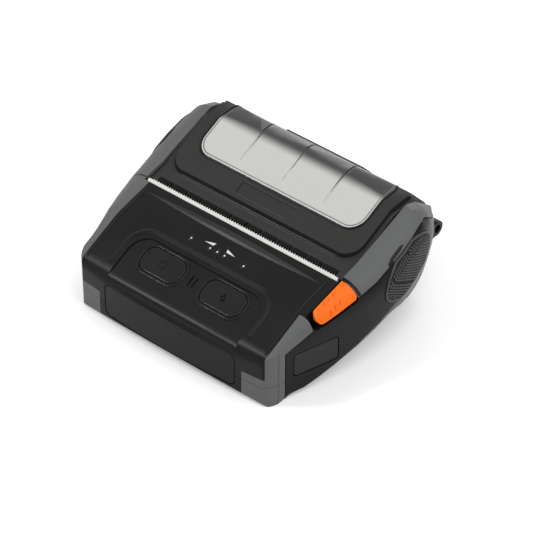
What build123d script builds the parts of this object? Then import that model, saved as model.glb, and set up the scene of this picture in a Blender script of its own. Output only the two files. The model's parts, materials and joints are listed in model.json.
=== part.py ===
from build123d import *
import os
from math import atan2, cos, degrees, radians, sin, sqrt

# Portable receipt printer, in millimetres with +Z up. The front with the buttons faces -Y,
# the release latch is on the +X side, and the origin is under the middle of the overall box.
os.makedirs("parts", exist_ok=True)

# Overall size and casing walls
overall_width = 155.0
overall_length = 134.0
overall_height = 66.0
rear_reach = 8.0
wall = 2.2
skin_gap = 0.5
pivot_play = 0.05
front_y = -overall_length / 2
rear_y = overall_length / 2 - rear_reach

# Middle body, between the two side casings, which each bulge out by side_reach
grip_thickness = 0.8
side_reach = 15.0
side_half = overall_width / 2 - grip_thickness
core_half = side_half - side_reach
side_wall = 1.7
front_bow = 3.2
front_corner_width = 4.1
front_corner_depth = 6.8
front_corner_radius = 2.0
seam_z = 12.0
seam_gap = 0.2
panel_seam = 0.5
nose_z = 28.4
nose_radius = 8.0
deck_bend_y = front_y + 31.0
deck_bend_z = 41.9
tear_y = front_y + 55.9
base_chamfer = 5.0
rear_foot_radius = 22.0
rear_top_z = 49.5

# Lid
lid_half = core_half - skin_gap
lid_front_y = tear_y + 1.7
raised_front_y = tear_y + 13.0
raised_front_z = 50.0
raised_half = core_half - 3.1
raised_corner = 9.0
flange_step = 1.8
lid_skin = 2.2
crest_y = rear_y - 16.5
crest_peak_z = overall_height + 1.8
crest_radius = 9.0
crown = 3.5
window_half = core_half - 10.2
window_front_y = tear_y + 24.6
window_rear_y = rear_y - 8.6
window_corner = 8.5
window_gap = 0.1
window_thickness = 2.0
window_ledge = 2.0
groove_pitch = 26.3
groove_width = 0.8
groove_depth = 0.6
comb_count = 11
comb_pitch = 10.8
comb_slot = 0.9
comb_reach = 4.0
comb_depth = 1.0
plate_length = 34.0
plate_width = 6.5
plate_y = tear_y + 18.6
plate_recess = 0.5

# Lid hinge
hinge_y = rear_y - 3.2
hinge_z = 42.5
barrel_radius = 3.2
hinge_pin_radius = 1.5
pin_inner = 8.0
knuckle_ends = [core_half - 37.4, core_half - 23.4, core_half - 9.7, core_half - 2.7]
knuckle_gap = 0.4
rear_wall_top = hinge_z - 4.0
skirt_bottom = hinge_z + 3.5
hinge_cover_half = 24.5
hinge_cover_proud = 1.4
hinge_cover_top = 57.5

# Side casings: each cross section is a hull below a belt line and a rounded shoulder above it.
# Seen from above the casing swells from the front corner to its widest place and rounds in again.
side_skin = 2.2
side_widest_y = rear_y - 39.0
front_run = 74.2
rear_run = 39.3
front_reach = 0.4
shoulder_drop = 13.3
shoulder_drop_least = 9.8
belt_z = 27.4
belt_slope = 0.4
belt_least = 3.0
hull_shares = [0.3, 0.6, 0.85, 1.0]
shoulder_shares = [1.0, 0.93, 0.8, 0.6, 0.35]
side_crest_front = 4.0
side_crest_rear = 3.0
side_stations = [
    10.0, 14.0, 19.0, 25.0, 33.0, 43.0, 56.0, 68.9, 87.0, 97.0, 105.5, 112.5, 118.0, 122.5, 126.0,
]
band_depth = 6.0
latch_length = 23.4
latch_front_y = tear_y - 23.0
latch_half_inner = core_half + 0.7
latch_corner = 2.5
latch_slot = 1.3
latch_thickness = 2.0
latch_gap = 0.4
latch_travel = 3.0
latch_tilt = 12.0
bumper_inner_half = core_half - 16.4
bumper_top_z = 17.0
bumper_edge_half = core_half - 3.4
bumper_rear_y = front_y + 14.0
grip_centre = (rear_y - 34.2, 39.8)
grip_length = 41.0
grip_width = 25.2
grip_turn = 24.0

# Buttons and lamps on the deck
button_x = 19.2
button_y = front_y + 19.7
button_length = 24.6
button_width = 14.0
button_corner = 5.2
bezel_border = 1.5
bezel_depth = 0.6
bezel_proud = 0.5
button_gap = 0.25
button_proud = 0.4
button_lip = 1.0
button_lip_thickness = 0.7
button_travel = 0.8
lip_gap = 0.2
switch_size = 3.6
switch_height = 1.0
lamp_y = front_y + 37.5
lamp_places = [-16.6, -4.55, 0.0, 4.55, 16.6]
lamp_radius = 0.9
ridge_half = core_half - 20.9
ridge_rear_y = front_y + 28.0
ridge_corner = 10.0
ridge_depth = 0.8
divider_length = 6.0
divider_width = 0.8
divider_x = 1.3
board_thickness = 1.6
key_board_half = core_half - 14.7
key_board_length = 29.0
key_board_shift = 8.0
key_screw_x = key_board_half - 3.0
key_screw_shifts = [-3.0, 16.0]
boss_radius = 2.0
small_screw_radius = 1.0
small_head_radius = 1.8
small_head_height = 0.8

# Battery pack, which slides out of the front
panel_half = core_half - 20.0
panel_bottom = 5.0
panel_top = 25.0
panel_corner = 4.0
panel_gap = 0.3
panel_depth = 5.0
pack_depth = 38.0
pack_inset = 1.0
pack_wall = 1.0
cell_gap = 0.05
cell_length = 65.0
bay_wall = 1.2
bay_gap = 0.4
contact_size = 4.0

# Platen, print head and gear train
platen_radius = 5.5
platen_y = tear_y + 1.1 + platen_radius
platen_z = 37.5
platen_shaft_radius = 2.0
platen_core_radius = 3.0
head_gap = 0.35
head_thickness = 1.0
head_bottom = 31.0
head_top = 43.2
sink_thickness = 3.0
head_spring_radius = 2.2
head_spring_bore = 1.4
arm_thickness = 1.2
arm_radius = 4.6
hook_thickness = 0.9
plate_thickness = 1.0
bush_radius = 3.2
gear_thickness = 2.4
gear_module = 0.6
platen_teeth = 18
idler_teeth = 24
pinion_teeth = 12
mesh_gap = 0.1
idler_direction = -101.5
pinion_direction = -95.0
axle_radius = 1.2
motor_radius = 10.0
motor_length = 14.0
motor_shaft_radius = 1.0
frame_y = platen_y - 15.5
release_y = platen_y - 8.0
release_z = 28.0
release_radius = 1.2
release_angle = 15.0

# Paper roll and its well
roll_front_gap = 1.0
roll_rear_gap = 9.0
roll_end_gap = 0.5
core_radius = 8.0
core_bore = 6.3
well_gap = 0.3
well_thickness = 1.5
well_top = 16.0
cheek_thickness = 1.2
well_side_gap = 2.5

# Sockets behind the cover flap, belt clip, strap lugs and screws
socket_y = front_y + 31.0
socket_z = 19.0
flap_length = 24.0
flap_height = 13.0
flap_thickness = 1.6
flap_gap = 0.5
clip_half = 18.0
clip_bottom = 14.0
clip_top = 36.0
clip_pivot_z = 28.0
clip_pivot_gap = 0.3
clip_thickness = 2.0
clip_barrel_radius = 2.3
clip_spring_radius = 1.5
clip_pin_radius = 1.0
clip_lip = 3.6
clip_spring_half = 4.8
bracket_half = 16.0
bracket_bottom = 20.0
bracket_top = 34.0
bracket_thickness = 1.6
ear_inner = 12.5
ear_thickness = 2.0
lug_x = core_half + 2.3
lug_z = 33.5
lug_radius = 4.25
lug_bore = 2.2
lug_length = 11.0
lug_plate = 1.6
screw_radius = 1.4
screw_head_radius = 2.6
screw_head_height = 1.2
screw_recess = 0.4
screw_length = 4.4

# Values that follow from the sizes above, with the drive stacked inwards from the side wall
axial_play = 0.3
core_inner_half = core_half - side_wall
gear_inner = core_inner_half - 2 * axial_play - gear_thickness
bush_outer = gear_inner - 0.4
plate_inner = bush_outer - 0.4 - plate_thickness
hook_inner = plate_inner - axial_play - hook_thickness
arm_inner = hook_inner - axial_play - arm_thickness
platen_half = arm_inner - 0.5
roll_half = core_inner_half - well_side_gap - cheek_thickness - roll_end_gap
roll_front_y = platen_y + platen_radius + roll_front_gap
roll_radius = (rear_y - roll_rear_gap - roll_front_y) / 2
roll_y = roll_front_y + roll_radius
roll_z = wall + well_thickness + well_gap + roll_radius
deck_slope = (deck_bend_z - nose_z) / (deck_bend_y - front_y)
deck_angle = degrees(atan2(deck_bend_z - nose_z, deck_bend_y - front_y))
lamp_slope = (raised_front_z - deck_bend_z) / (raised_front_y - deck_bend_y)
lamp_angle = degrees(atan2(raised_front_z - deck_bend_z, raised_front_y - deck_bend_y))
tear_z = raised_front_z - (raised_front_y - tear_y) * lamp_slope
latch_rear_y = latch_front_y + latch_length
front_bumper_end = latch_front_y - latch_travel - latch_gap
rear_bumper_front = latch_rear_y + latch_gap
battery_front_y = front_y + panel_depth
cover_rear_y = tear_y - 1.5
sides = {"left": -1, "right": 1}


def outline(front, rear, base, drop, crest_drop, foot):
    """Side view of the body as a flat sketch, with Y to the right and Z upwards."""
    nose = nose_z + (front - front_y) * deck_slope - drop
    with BuildSketch() as profile:
        with BuildLine():
            Polyline(
                (front + foot, base),
                (front, base + foot),
                (front, nose),
                (deck_bend_y, deck_bend_z - drop),
                (raised_front_y, raised_front_z - drop),
                (crest_y - 0.25 * drop, crest_peak_z - crest_drop - drop),
                (rear, rear_top_z - drop),
                (rear, base),
                close=True,
            )
        make_face()
        fillet(profile.vertices().sort_by(Axis.Y)[-1], radius=crest_radius)
        rear_corner = profile.vertices().filter_by(lambda v: abs(v.X - rear) + abs(v.Y - base) < 0.01)
        fillet(rear_corner, radius=rear_foot_radius - base)
        fillet(profile.vertices().filter_by(lambda v: abs(v.Y - nose) < 0.01), radius=nose_radius)
    return profile.sketch


def side_prism(profile, half_from, half_to):
    """Extrude a flat side view sketch across the printer between two X places."""
    with BuildPart() as prism:
        with BuildSketch(Plane.YZ.offset(half_from)):
            add(profile)
        extrude(amount=half_to - half_from)
    return prism.part


def side_polygon(points, half_from, half_to):
    """Extrude a polygon of (Y, Z) points between two X places."""
    with BuildPart() as prism:
        with BuildSketch(Plane.YZ.offset(half_from)):
            with BuildLine():
                Polyline(*points, close=True)
            make_face()
        extrude(amount=half_to - half_from)
    return prism.part


def block(x_from, x_to, y_from, y_to, z_from, z_to):
    """A box between two opposite corners."""
    with BuildPart() as box:
        with Locations(((x_from + x_to) / 2, (y_from + y_to) / 2, (z_from + z_to) / 2)):
            Box(x_to - x_from, y_to - y_from, z_to - z_from)
    return box.part


def rod(radius, x_from, x_to, y, z, bore=0.0):
    """A round rod or tube along X."""
    with BuildPart() as bar:
        with BuildSketch(Plane.YZ.offset(x_from)):
            with Locations((y, z)):
                Circle(radius)
                if bore > 0:
                    Circle(bore, mode=Mode.SUBTRACT)
        extrude(amount=x_to - x_from)
    return bar.part


def plan_slab(half, y_from, y_to, corner, z_from, z_to):
    """A rounded rectangle seen from above, extruded upwards."""
    with BuildPart() as slab:
        with BuildSketch(Plane.XY.offset(z_from)):
            with Locations((0, (y_from + y_to) / 2)):
                RectangleRounded(2 * half, y_to - y_from, corner)
        extrude(amount=z_to - z_from)
    return slab.part


def crown_arch(half, drop):
    """Everything under the crowned top of the middle body, lowered by drop."""
    with BuildPart() as arch:
        with BuildSketch(Plane.XZ.offset(-2 * rear_y)):
            with BuildLine():
                ThreePointArc(
                    (half, overall_height - crown - drop),
                    (0, overall_height - drop),
                    (-half, overall_height - crown - drop),
                )
                Line((-half, overall_height - crown - drop), (-half, -1))
                Line((-half, -1), (half, -1))
                Line((half, -1), (half, overall_height - crown - drop))
            make_face()
        extrude(amount=4 * rear_y)
    return arch.part


def body(half, drop, inset, base):
    """The middle body, lowered by drop and drawn in at front and rear by inset."""
    with BuildPart() as solid:
        with BuildSketch(Plane.YZ.offset(-half)):
            add(outline(front_y + inset, rear_y - inset, base, drop, 0.0, base_chamfer))
        extrude(amount=2 * half)
        corner_x = half - front_corner_width
        corner_y = front_y + front_bow + inset
        side_y = corner_y + front_corner_depth
        bend_x = half - 0.32 * front_corner_width
        bend_y = corner_y + 0.47 * front_corner_depth
        with BuildSketch(Plane.XY) as plan:
            with BuildLine():
                Line((-half, rear_y), (half, rear_y))
                Line((half, rear_y), (half, side_y))
                ThreePointArc((half, side_y), (bend_x, bend_y), (corner_x, corner_y))
                ThreePointArc((corner_x, corner_y), (0, front_y + inset), (-corner_x, corner_y))
                ThreePointArc((-corner_x, corner_y), (-bend_x, bend_y), (-half, side_y))
                Line((-half, side_y), (-half, rear_y))
            make_face()
            fillet(plan.vertices().group_by(Axis.Y)[0], radius=front_corner_radius)
        extrude(amount=2 * overall_height, mode=Mode.INTERSECT)
        add(crown_arch(half, drop), mode=Mode.INTERSECT)
    return solid.part


def side_top(y):
    """Height of the body's top beside the casing, as straight runs between its bends."""
    crest_z = crest_peak_z - crown
    bends = [
        (front_y, nose_z),
        (deck_bend_y, deck_bend_z),
        (raised_front_y, raised_front_z),
        (crest_y - side_crest_front, crest_z - 2.0),
        (crest_y + side_crest_rear, crest_z - 4.0),
        (rear_y, rear_top_z),
    ]
    for (y_from, z_from), (y_to, z_to) in zip(bends, bends[1:]):
        if y <= y_to:
            return z_from + (z_to - z_from) * (y - y_from) / (y_to - y_from)
    return rear_top_z


def side_reach_at(y):
    """How far the side casing bulges out past the middle body at y."""
    if y < side_widest_y:
        run = min(1.0, (side_widest_y - y) / front_run)
        return front_reach + (side_reach - front_reach) * (1 - run**2.15) ** 1.21
    run = (y - side_widest_y) / rear_run
    return side_reach * (1 - run**1.7) ** 0.55


def side_section(y, inset):
    """Cross section of the right side casing at y, as (X, Z) points, drawn in by inset."""
    share = side_reach_at(y) / side_reach
    reach = side_reach_at(y) - inset
    drop = shoulder_drop_least + (shoulder_drop - shoulder_drop_least) * share
    top = side_top(y) - inset
    past = max(0.0, y - (rear_y - rear_foot_radius))
    base = rear_foot_radius - sqrt(rear_foot_radius**2 - past**2) + inset
    belt = max(belt_z + belt_slope * (y - side_widest_y), base + belt_least)
    belt = min(belt, top - drop - belt_least)
    points = [(core_half, base)]
    for part in hull_shares:
        rise = 0.72 * part + 0.28 * (1 - sqrt(1 - part**2))
        points.append((core_half + reach * part, base + (belt - base) * rise))
    for part in shoulder_shares:
        fall = 1 - (1 - part**1.84) ** 0.464
        points.append((core_half + reach * part, top - drop * fall))
    points.append((core_half, top))
    return points


def side_body(inset):
    """The right side casing as a solid, drawn in all over by inset."""
    stations = [front_y + station for station in side_stations]
    if inset > 0:
        stations = [y for y in stations[:-1] if side_reach_at(y) > inset + 0.5] + [rear_y - inset]
    with BuildPart() as solid:
        for y in stations:
            with BuildSketch(Plane.XZ.offset(-y)):
                with BuildLine():
                    Polyline(*side_section(y, inset), close=True)
                make_face()
        loft(ruled=True)
    return solid.part


def finish(builder, name):
    """Label a finished piece and write its STEP file."""
    builder.part.label = name
    export_step(builder.part, f"parts/{name}.step")


core_outer = body(core_half, 0.0, 0.0, 0.0)
core_inner = body(core_inner_half, wall, wall, wall)
core_shell = core_outer - core_inner
side_outer = side_body(0.0)
side_shell = side_outer - side_body(side_skin)
tall = 2 * overall_height

# Regions that divide the casing into its pieces
lid_drop = flange_step + lid_skin
under_skirt = block(-core_half, core_half, crest_y, rear_y, -1, skirt_bottom - skin_gap)
below_lid_prism = side_prism(
    outline(front_y, rear_y - lid_skin - skin_gap, 0.0, lid_drop + skin_gap, 0.0, base_chamfer),
    -core_half, core_half,
)
below_lid = (below_lid_prism & crown_arch(core_half, lid_drop + skin_gap)) + under_skirt
above_seam = block(-core_half, core_half, front_y, bumper_rear_y, seam_z, tall)
behind_bumper = block(-core_half, core_half, bumper_rear_y, rear_y, -1, tall)
front_low = block(-core_half, core_half, front_y, bumper_rear_y, -1, seam_z - seam_gap)
corner_low = block(bumper_inner_half, core_half, front_y, bumper_rear_y, -1, bumper_top_z)
corner_high = block(bumper_edge_half, core_half, front_y, bumper_rear_y, bumper_top_z, tall)
corner_low_gap = block(
    bumper_inner_half - seam_gap, core_half, front_y, bumper_rear_y, -1, bumper_top_z + seam_gap
)
corner_high_gap = block(bumper_edge_half - seam_gap, core_half, front_y, bumper_rear_y, -1, tall)
below_band = side_prism(
    outline(front_y - 1, rear_y + 1, -1, band_depth, crown, base_chamfer), core_half, side_half + 1
)
below_band_gap = side_prism(
    outline(front_y - 1, rear_y + 1, -1, band_depth + panel_seam, crown, base_chamfer),
    core_half, side_half + 1,
)
behind_panel_seam = block(core_half, side_half + 1, bumper_rear_y + panel_seam, rear_y + 1, -1, tall)

# Battery opening and the window of the bay behind it
with BuildPart() as battery_opening:
    with BuildSketch(Plane.XZ.offset(-front_y - wall - 6)):
        with Locations((0, (panel_bottom + panel_top) / 2)):
            RectangleRounded(2 * panel_half, panel_top - panel_bottom, panel_corner)
    extrude(amount=2 * wall + 12)

# Latch place: the slot in the right wall that the latch's tab runs in
tab_y = release_y
tab_width = 3.0
peg_reach = release_z + latch_travel * cos(radians(latch_tilt)) / sin(radians(release_angle))
tab_slot = block(
    core_inner_half - 1, core_half + 1,
    tab_y - tab_width / 2 - latch_travel - latch_gap, tab_y + tab_width / 2 + latch_gap,
    peg_reach - 3.0, tall,
)
socket_window = block(
    core_inner_half - 1, core_half + 1, socket_y - 13, socket_y + 13, socket_z - 8, socket_z + 7
)

# Lower case: floor, low front wall, inner side walls, rear wall, posts and hinge knuckles
post_x = core_half - 9.7
post_radius = 3.2
post_top = 12.0
rear_post_rise = 6.6
rear_post_top = 13.0
post_rows = [(front_y + 19.0, 0.0, post_top), (rear_y - 8.5, rear_post_rise, rear_post_top)]
board_lift = 1.8
main_board_x = (-38.0, 44.0)
main_board_y = (platen_y - 14.5, platen_y + 3.5)
main_board_posts = [(x, y) for x in (-34.0, 40.0) for y in (main_board_y[0] + 3, main_board_y[1] - 3)]
rear_cut = block(-core_half - 1, core_half + 1, rear_y - wall - 1, rear_y + 1, rear_wall_top, tall)
case_knuckles = [(knuckle_ends[0] + knuckle_gap, knuckle_ends[1])]
case_knuckles += [(knuckle_ends[2] + knuckle_gap, knuckle_ends[3])]
lid_knuckles = [(-knuckle_ends[0], knuckle_ends[0])]
lid_knuckles += [(knuckle_ends[1] + knuckle_gap, knuckle_ends[2])]
lid_knuckles += [(-knuckle_ends[2], -knuckle_ends[1] - knuckle_gap)]
case_knuckles += [(-outer, -inner) for inner, outer in case_knuckles]
case_barrels = [rod(barrel_radius, a, b, hinge_y, hinge_z) for a, b in case_knuckles]
case_webs = [block(a, b, rear_y - wall, rear_y, rear_wall_top - 2, hinge_z) for a, b in case_knuckles]
pin_hole = rod(hinge_pin_radius, -knuckle_ends[3] - 1, knuckle_ends[3] + 1, hinge_y, hinge_z)
with BuildPart() as screw_group:
    for y, rise, top in post_rows:
        with BuildSketch(Plane.XY.offset(rise + screw_recess)):
            with Locations((-post_x, y), (post_x, y)):
                Circle(screw_head_radius)
        extrude(amount=screw_head_height)
        with BuildSketch(Plane.XY.offset(rise + screw_recess + screw_head_height)):
            with Locations((-post_x, y), (post_x, y)):
                Circle(screw_radius)
        extrude(amount=screw_length)
with BuildPart() as screw_wells:
    for y, rise, top in post_rows:
        with BuildSketch(Plane.XY):
            with Locations((-post_x, y), (post_x, y)):
                Circle(screw_head_radius)
        extrude(amount=rise + screw_recess)
with BuildPart() as posts:
    for y, rise, top in post_rows:
        with BuildSketch(Plane.XY.offset(wall / 2)):
            with Locations((-post_x, y), (post_x, y)):
                Circle(post_radius)
        extrude(amount=top - wall / 2)
    add(core_outer, mode=Mode.INTERSECT)
with BuildPart() as lower_case:
    add(core_shell)
    add(front_low + (behind_bumper & below_lid), mode=Mode.INTERSECT)
    add(corner_low_gap, mode=Mode.SUBTRACT)
    add(mirror(corner_low_gap, Plane.YZ), mode=Mode.SUBTRACT)
    add(battery_opening.part, mode=Mode.SUBTRACT)
    add(rear_cut, mode=Mode.SUBTRACT)
    add(tab_slot, mode=Mode.SUBTRACT)
    add(socket_window, mode=Mode.SUBTRACT)
    add(posts.part)
    with BuildSketch(Plane.XY.offset(wall)):
        with Locations(*main_board_posts):
            Circle(boss_radius)
    extrude(amount=board_lift)
    with BuildSketch(Plane.XY.offset(wall)):
        with Locations((post_x, socket_y + 8.0)):
            Circle(boss_radius)
    extrude(amount=post_top - wall)
    add(case_webs)
    add(case_barrels)
    add(pin_hole, mode=Mode.SUBTRACT)
    add(screw_group.part, mode=Mode.SUBTRACT)
    add(screw_wells.part, mode=Mode.SUBTRACT)
finish(lower_case, "lower_case")
finish(screw_group, "case_screws")

# Corner bumpers at the front and the shoulder bands beside the deck and the lid.
# The right front bumper stops at the latch, and the left one runs on to the rear bumper.
band_skin = side_shell - below_band
bumper_ends = {"left": rear_bumper_front - 2 * latch_gap, "right": front_bumper_end}
shoulder_ends = {side: min(end, cover_rear_y) for side, end in bumper_ends.items()}
shoulders = {
    side: block(bumper_edge_half, core_half, bumper_rear_y, end, -1, tall)
    for side, end in shoulder_ends.items()
}
shoulder_gaps = {
    side: block(bumper_edge_half - seam_gap, core_half, bumper_rear_y, end + seam_gap, -1, tall)
    for side, end in shoulder_ends.items()
}
rear_band = band_skin & block(core_half, side_half, rear_bumper_front, rear_y + 1, -1, tall)
middle_band = side_shell & block(
    core_half, side_half + 1, front_bumper_end + seam_gap, rear_bumper_front - seam_gap, -1, tall
)
for side, sign in sides.items():
    with BuildPart() as upper_bumper:
        add(core_shell & (above_seam & (corner_low + corner_high)))
        add((core_shell & shoulders[side]) - below_lid_prism)
        add(band_skin & block(core_half, side_half, front_y, bumper_ends[side], -1, tall))
        add(side_shell & block(core_half, side_half, front_y, bumper_rear_y, seam_z, tall))
        if sign < 0:
            mirror(about=Plane.YZ, mode=Mode.REPLACE)
    finish(upper_bumper, f"front_bumper_{side}")

with BuildPart() as corner_feet:
    add(core_shell & (front_low & corner_low))
    add(side_shell & block(core_half, side_half, front_y, bumper_rear_y, -1, seam_z - seam_gap))
    mirror(about=Plane.YZ)
finish(corner_feet, "corner_feet")
with BuildPart() as rear_bumpers:
    add(rear_band)
    mirror(about=Plane.YZ)
finish(rear_bumpers, "rear_bumpers")

# Latch: an orange skin piece on the right shoulder, with a tab and a peg inside
def latch_window(front, rear, inner, drop, corner):
    """Everything over the right shoulder between two Y places, down to a drop below the top."""
    floor_front = tear_z - (tear_y - front) * lamp_slope - drop
    floor_rear = tear_z - (tear_y - rear) * lamp_slope - drop
    with BuildPart() as window:
        with BuildSketch(Plane.YZ.offset(core_half)) as side_view:
            with BuildLine():
                Polyline((front, floor_front), (rear, floor_rear), (rear, tall), (front, tall), close=True)
            make_face()
            fillet(side_view.vertices().sort_by(Axis.Y)[:2], radius=corner)
        extrude(amount=side_reach)
        with BuildSketch(Plane.XY) as top_view:
            with Locations(((inner + side_half + corner) / 2, (front + rear) / 2)):
                RectangleRounded(side_half + corner - inner, rear - front, corner)
        extrude(amount=tall, mode=Mode.INTERSECT)
    return window.part


latch_zone = latch_window(latch_front_y, latch_rear_y, latch_half_inner, band_depth, latch_corner)
latch_pocket = latch_window(
    front_bumper_end + seam_gap, latch_rear_y + latch_gap, core_half - latch_corner,
    band_depth + latch_slot, latch_corner,
)
tab_low = peg_reach - 1.2
tab_leg = block(latch_half_inner, latch_half_inner + 1.6, tab_y - 1.5, tab_y + 1.5, tab_low, tall)
with BuildPart() as latch:
    add((side_outer - side_body(latch_thickness)) & latch_zone)
    add(side_outer & tab_leg)
    add(block(gear_inner + 1.4, latch_half_inner + 1.6, tab_y - 1.5, tab_y + 1.5, tab_low, tab_low + 2.4))
    add(rod(1.2, gear_inner - 0.2, gear_inner + 1.6, tab_y, peg_reach))
finish(latch, "latch_button")

# Side panels with the band that frames the latch, and the cover flap over the sockets
with BuildPart() as flap_hole:
    with BuildSketch(Plane.YZ.offset(core_half)):
        with Locations((socket_y, socket_z)):
            RectangleRounded(flap_length + 2 * flap_gap, flap_height + 2 * flap_gap, 2.0)
    extrude(amount=side_half)
with BuildPart() as flap_shape:
    with BuildSketch(Plane.YZ.offset(core_half + seam_gap)):
        with Locations((socket_y, socket_z)):
            RectangleRounded(flap_length, flap_height, 1.7)
    extrude(amount=side_half)
with BuildPart() as interface_cover:
    add((side_outer - side_outer.moved(Location((-flap_thickness, 0, 0)))) & flap_shape.part)
finish(interface_cover, "interface_cover")

with BuildPart() as grip_outline:
    with BuildSketch(Plane.YZ.offset(core_half)) as grip_sketch:
        with Locations(Location(grip_centre, grip_turn)):
            Ellipse(grip_length / 2, grip_width / 2)
    extrude(amount=side_half)
grip_skin = side_outer.moved(Location((grip_thickness, 0, 0))) - side_outer
grip_pad_solid = grip_skin & grip_outline.part & below_band
for side, sign in sides.items():
    with BuildPart() as side_panel:
        add(side_shell & below_band_gap & behind_panel_seam)
        if sign > 0:
            add(middle_band)
            add(latch_pocket, mode=Mode.SUBTRACT)
            add(flap_hole.part, mode=Mode.SUBTRACT)
        if sign < 0:
            mirror(about=Plane.YZ, mode=Mode.REPLACE)
    finish(side_panel, f"side_panel_{side}")
with BuildPart() as grip_pads:
    add(grip_pad_solid)
    mirror(about=Plane.YZ)
finish(grip_pads, "grip_pads")

# Deck plane that carries the buttons, and the recess around them
floor_drop = ridge_depth / cos(radians(deck_angle))
button_z = nose_z + (button_y - front_y) * deck_slope - floor_drop


def deck_plane(x, depth):
    """A plane under the recessed deck at a button, with its normal square to the deck."""
    tilt = radians(deck_angle)
    origin = (x, button_y + depth * sin(tilt), button_z - depth * cos(tilt))
    return Plane(origin=origin, x_dir=(1, 0, 0), z_dir=(0, -sin(tilt), cos(tilt)))


with BuildPart() as recess:
    with BuildSketch(Plane.XY.offset(seam_z)) as recess_plan:
        with Locations((0, (front_y + ridge_rear_y) / 2)):
            Rectangle(2 * ridge_half, ridge_rear_y - front_y)
        fillet(recess_plan.vertices().group_by(Axis.Y)[-1], radius=ridge_corner)
    extrude(amount=overall_height)
recess_floor = side_polygon(
    [
        (front_y - 1, nose_z - deck_slope - floor_drop),
        (deck_bend_y + 9, deck_bend_z + 9 * deck_slope - floor_drop),
        (deck_bend_y + 9, overall_height),
        (front_y - 1, overall_height),
    ],
    -ridge_half - 1, ridge_half + 1,
)
recess_cut = recess.part & recess_floor
skin_under = wall * cos(radians(deck_angle)) - ridge_depth
lip_top = skin_under + lip_gap
lip_bottom_depth = lip_top + button_lip_thickness
key_board_top = lip_bottom_depth + button_travel + pivot_play + switch_height
with BuildPart() as button_cuts:
    for x in (-button_x, button_x):
        with BuildSketch(deck_plane(x, bezel_depth)):
            edge = 2 * (button_gap + bezel_border)
            RectangleRounded(button_length + edge, button_width + edge, button_corner + edge / 2)
        extrude(amount=6)
        with BuildSketch(deck_plane(x, 6)):
            edge = 2 * button_gap
            RectangleRounded(button_length + edge, button_width + edge, button_corner + edge / 2)
        extrude(amount=6)
        with BuildSketch(deck_plane(0, divider_width)):
            with Locations((-divider_x, 0), (divider_x, 0)):
                SlotOverall(divider_length, divider_width, rotation=90)
        extrude(amount=2)
for name, x in (("power", -button_x), ("feed", button_x)):
    with BuildPart() as button:
        with BuildSketch(deck_plane(x, lip_top)):
            RectangleRounded(button_length, button_width, button_corner)
        extrude(amount=lip_top + button_proud)
        fillet(button.faces().sort_by(Axis.Z)[-1].edges(), radius=0.6)
        with BuildSketch(deck_plane(x, lip_bottom_depth)):
            edge = 2 * (button_gap + button_lip)
            RectangleRounded(button_length + edge, button_width + edge, button_corner)
        extrude(amount=button_lip_thickness)
    finish(button, f"{name}_button")
with BuildPart() as bezels:
    for x in (-button_x, button_x):
        with BuildSketch(deck_plane(x, bezel_depth)):
            edge = 2 * (button_gap + bezel_border)
            RectangleRounded(button_length + edge, button_width + edge, button_corner + edge / 2)
            edge = 2 * button_gap
            RectangleRounded(
                button_length + edge, button_width + edge, button_corner + edge / 2, mode=Mode.SUBTRACT
            )
        extrude(amount=bezel_depth + bezel_proud)
finish(bezels, "button_bezels")

# Lamps: five light pipes down to the key board
lamp_z = raised_front_z - (raised_front_y - lamp_y) * lamp_slope
lamp_tilt = radians(lamp_angle)
lamp_length = 3.0
lamp_plane = Plane(
    origin=(0, lamp_y + lamp_length * sin(lamp_tilt), lamp_z - lamp_length * cos(lamp_tilt)),
    x_dir=(1, 0, 0), z_dir=(0, -sin(lamp_tilt), cos(lamp_tilt)),
)
with BuildPart() as lamps:
    with BuildSketch(lamp_plane):
        with Locations(*[(x, 0) for x in lamp_places]):
            Circle(lamp_radius)
    extrude(amount=lamp_length - 0.1)
finish(lamps, "lamp_lenses")
with BuildPart() as lamp_holes:
    with BuildSketch(lamp_plane):
        with Locations(*[(x, 0) for x in lamp_places]):
            Circle(lamp_radius)
    extrude(amount=2 * lamp_length)

# Key board under the deck, with one switch for each button and four screws into bosses
with BuildPart() as key_screws:
    with BuildSketch(deck_plane(0, key_board_top + board_thickness + small_head_height)):
        with Locations(*[(x, y) for x in (-key_screw_x, key_screw_x) for y in key_screw_shifts]):
            Circle(small_head_radius)
    extrude(amount=small_head_height)
    with BuildSketch(deck_plane(0, key_board_top + board_thickness)):
        with Locations(*[(x, y) for x in (-key_screw_x, key_screw_x) for y in key_screw_shifts]):
            Circle(small_screw_radius)
    extrude(amount=board_thickness + 2.0)
finish(key_screws, "key_board_screws")
with BuildPart() as key_board:
    with BuildSketch(deck_plane(0, key_board_top + board_thickness)):
        with Locations((0, key_board_shift)):
            Rectangle(2 * key_board_half, key_board_length)
    extrude(amount=board_thickness)
    add(key_screws.part, mode=Mode.SUBTRACT)
finish(key_board, "key_board")
with BuildPart() as key_switches:
    with BuildSketch(deck_plane(0, key_board_top)):
        with Locations((-button_x, 0), (button_x, 0)):
            Rectangle(switch_size, switch_size)
    extrude(amount=switch_height)
finish(key_switches, "key_switches")

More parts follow.
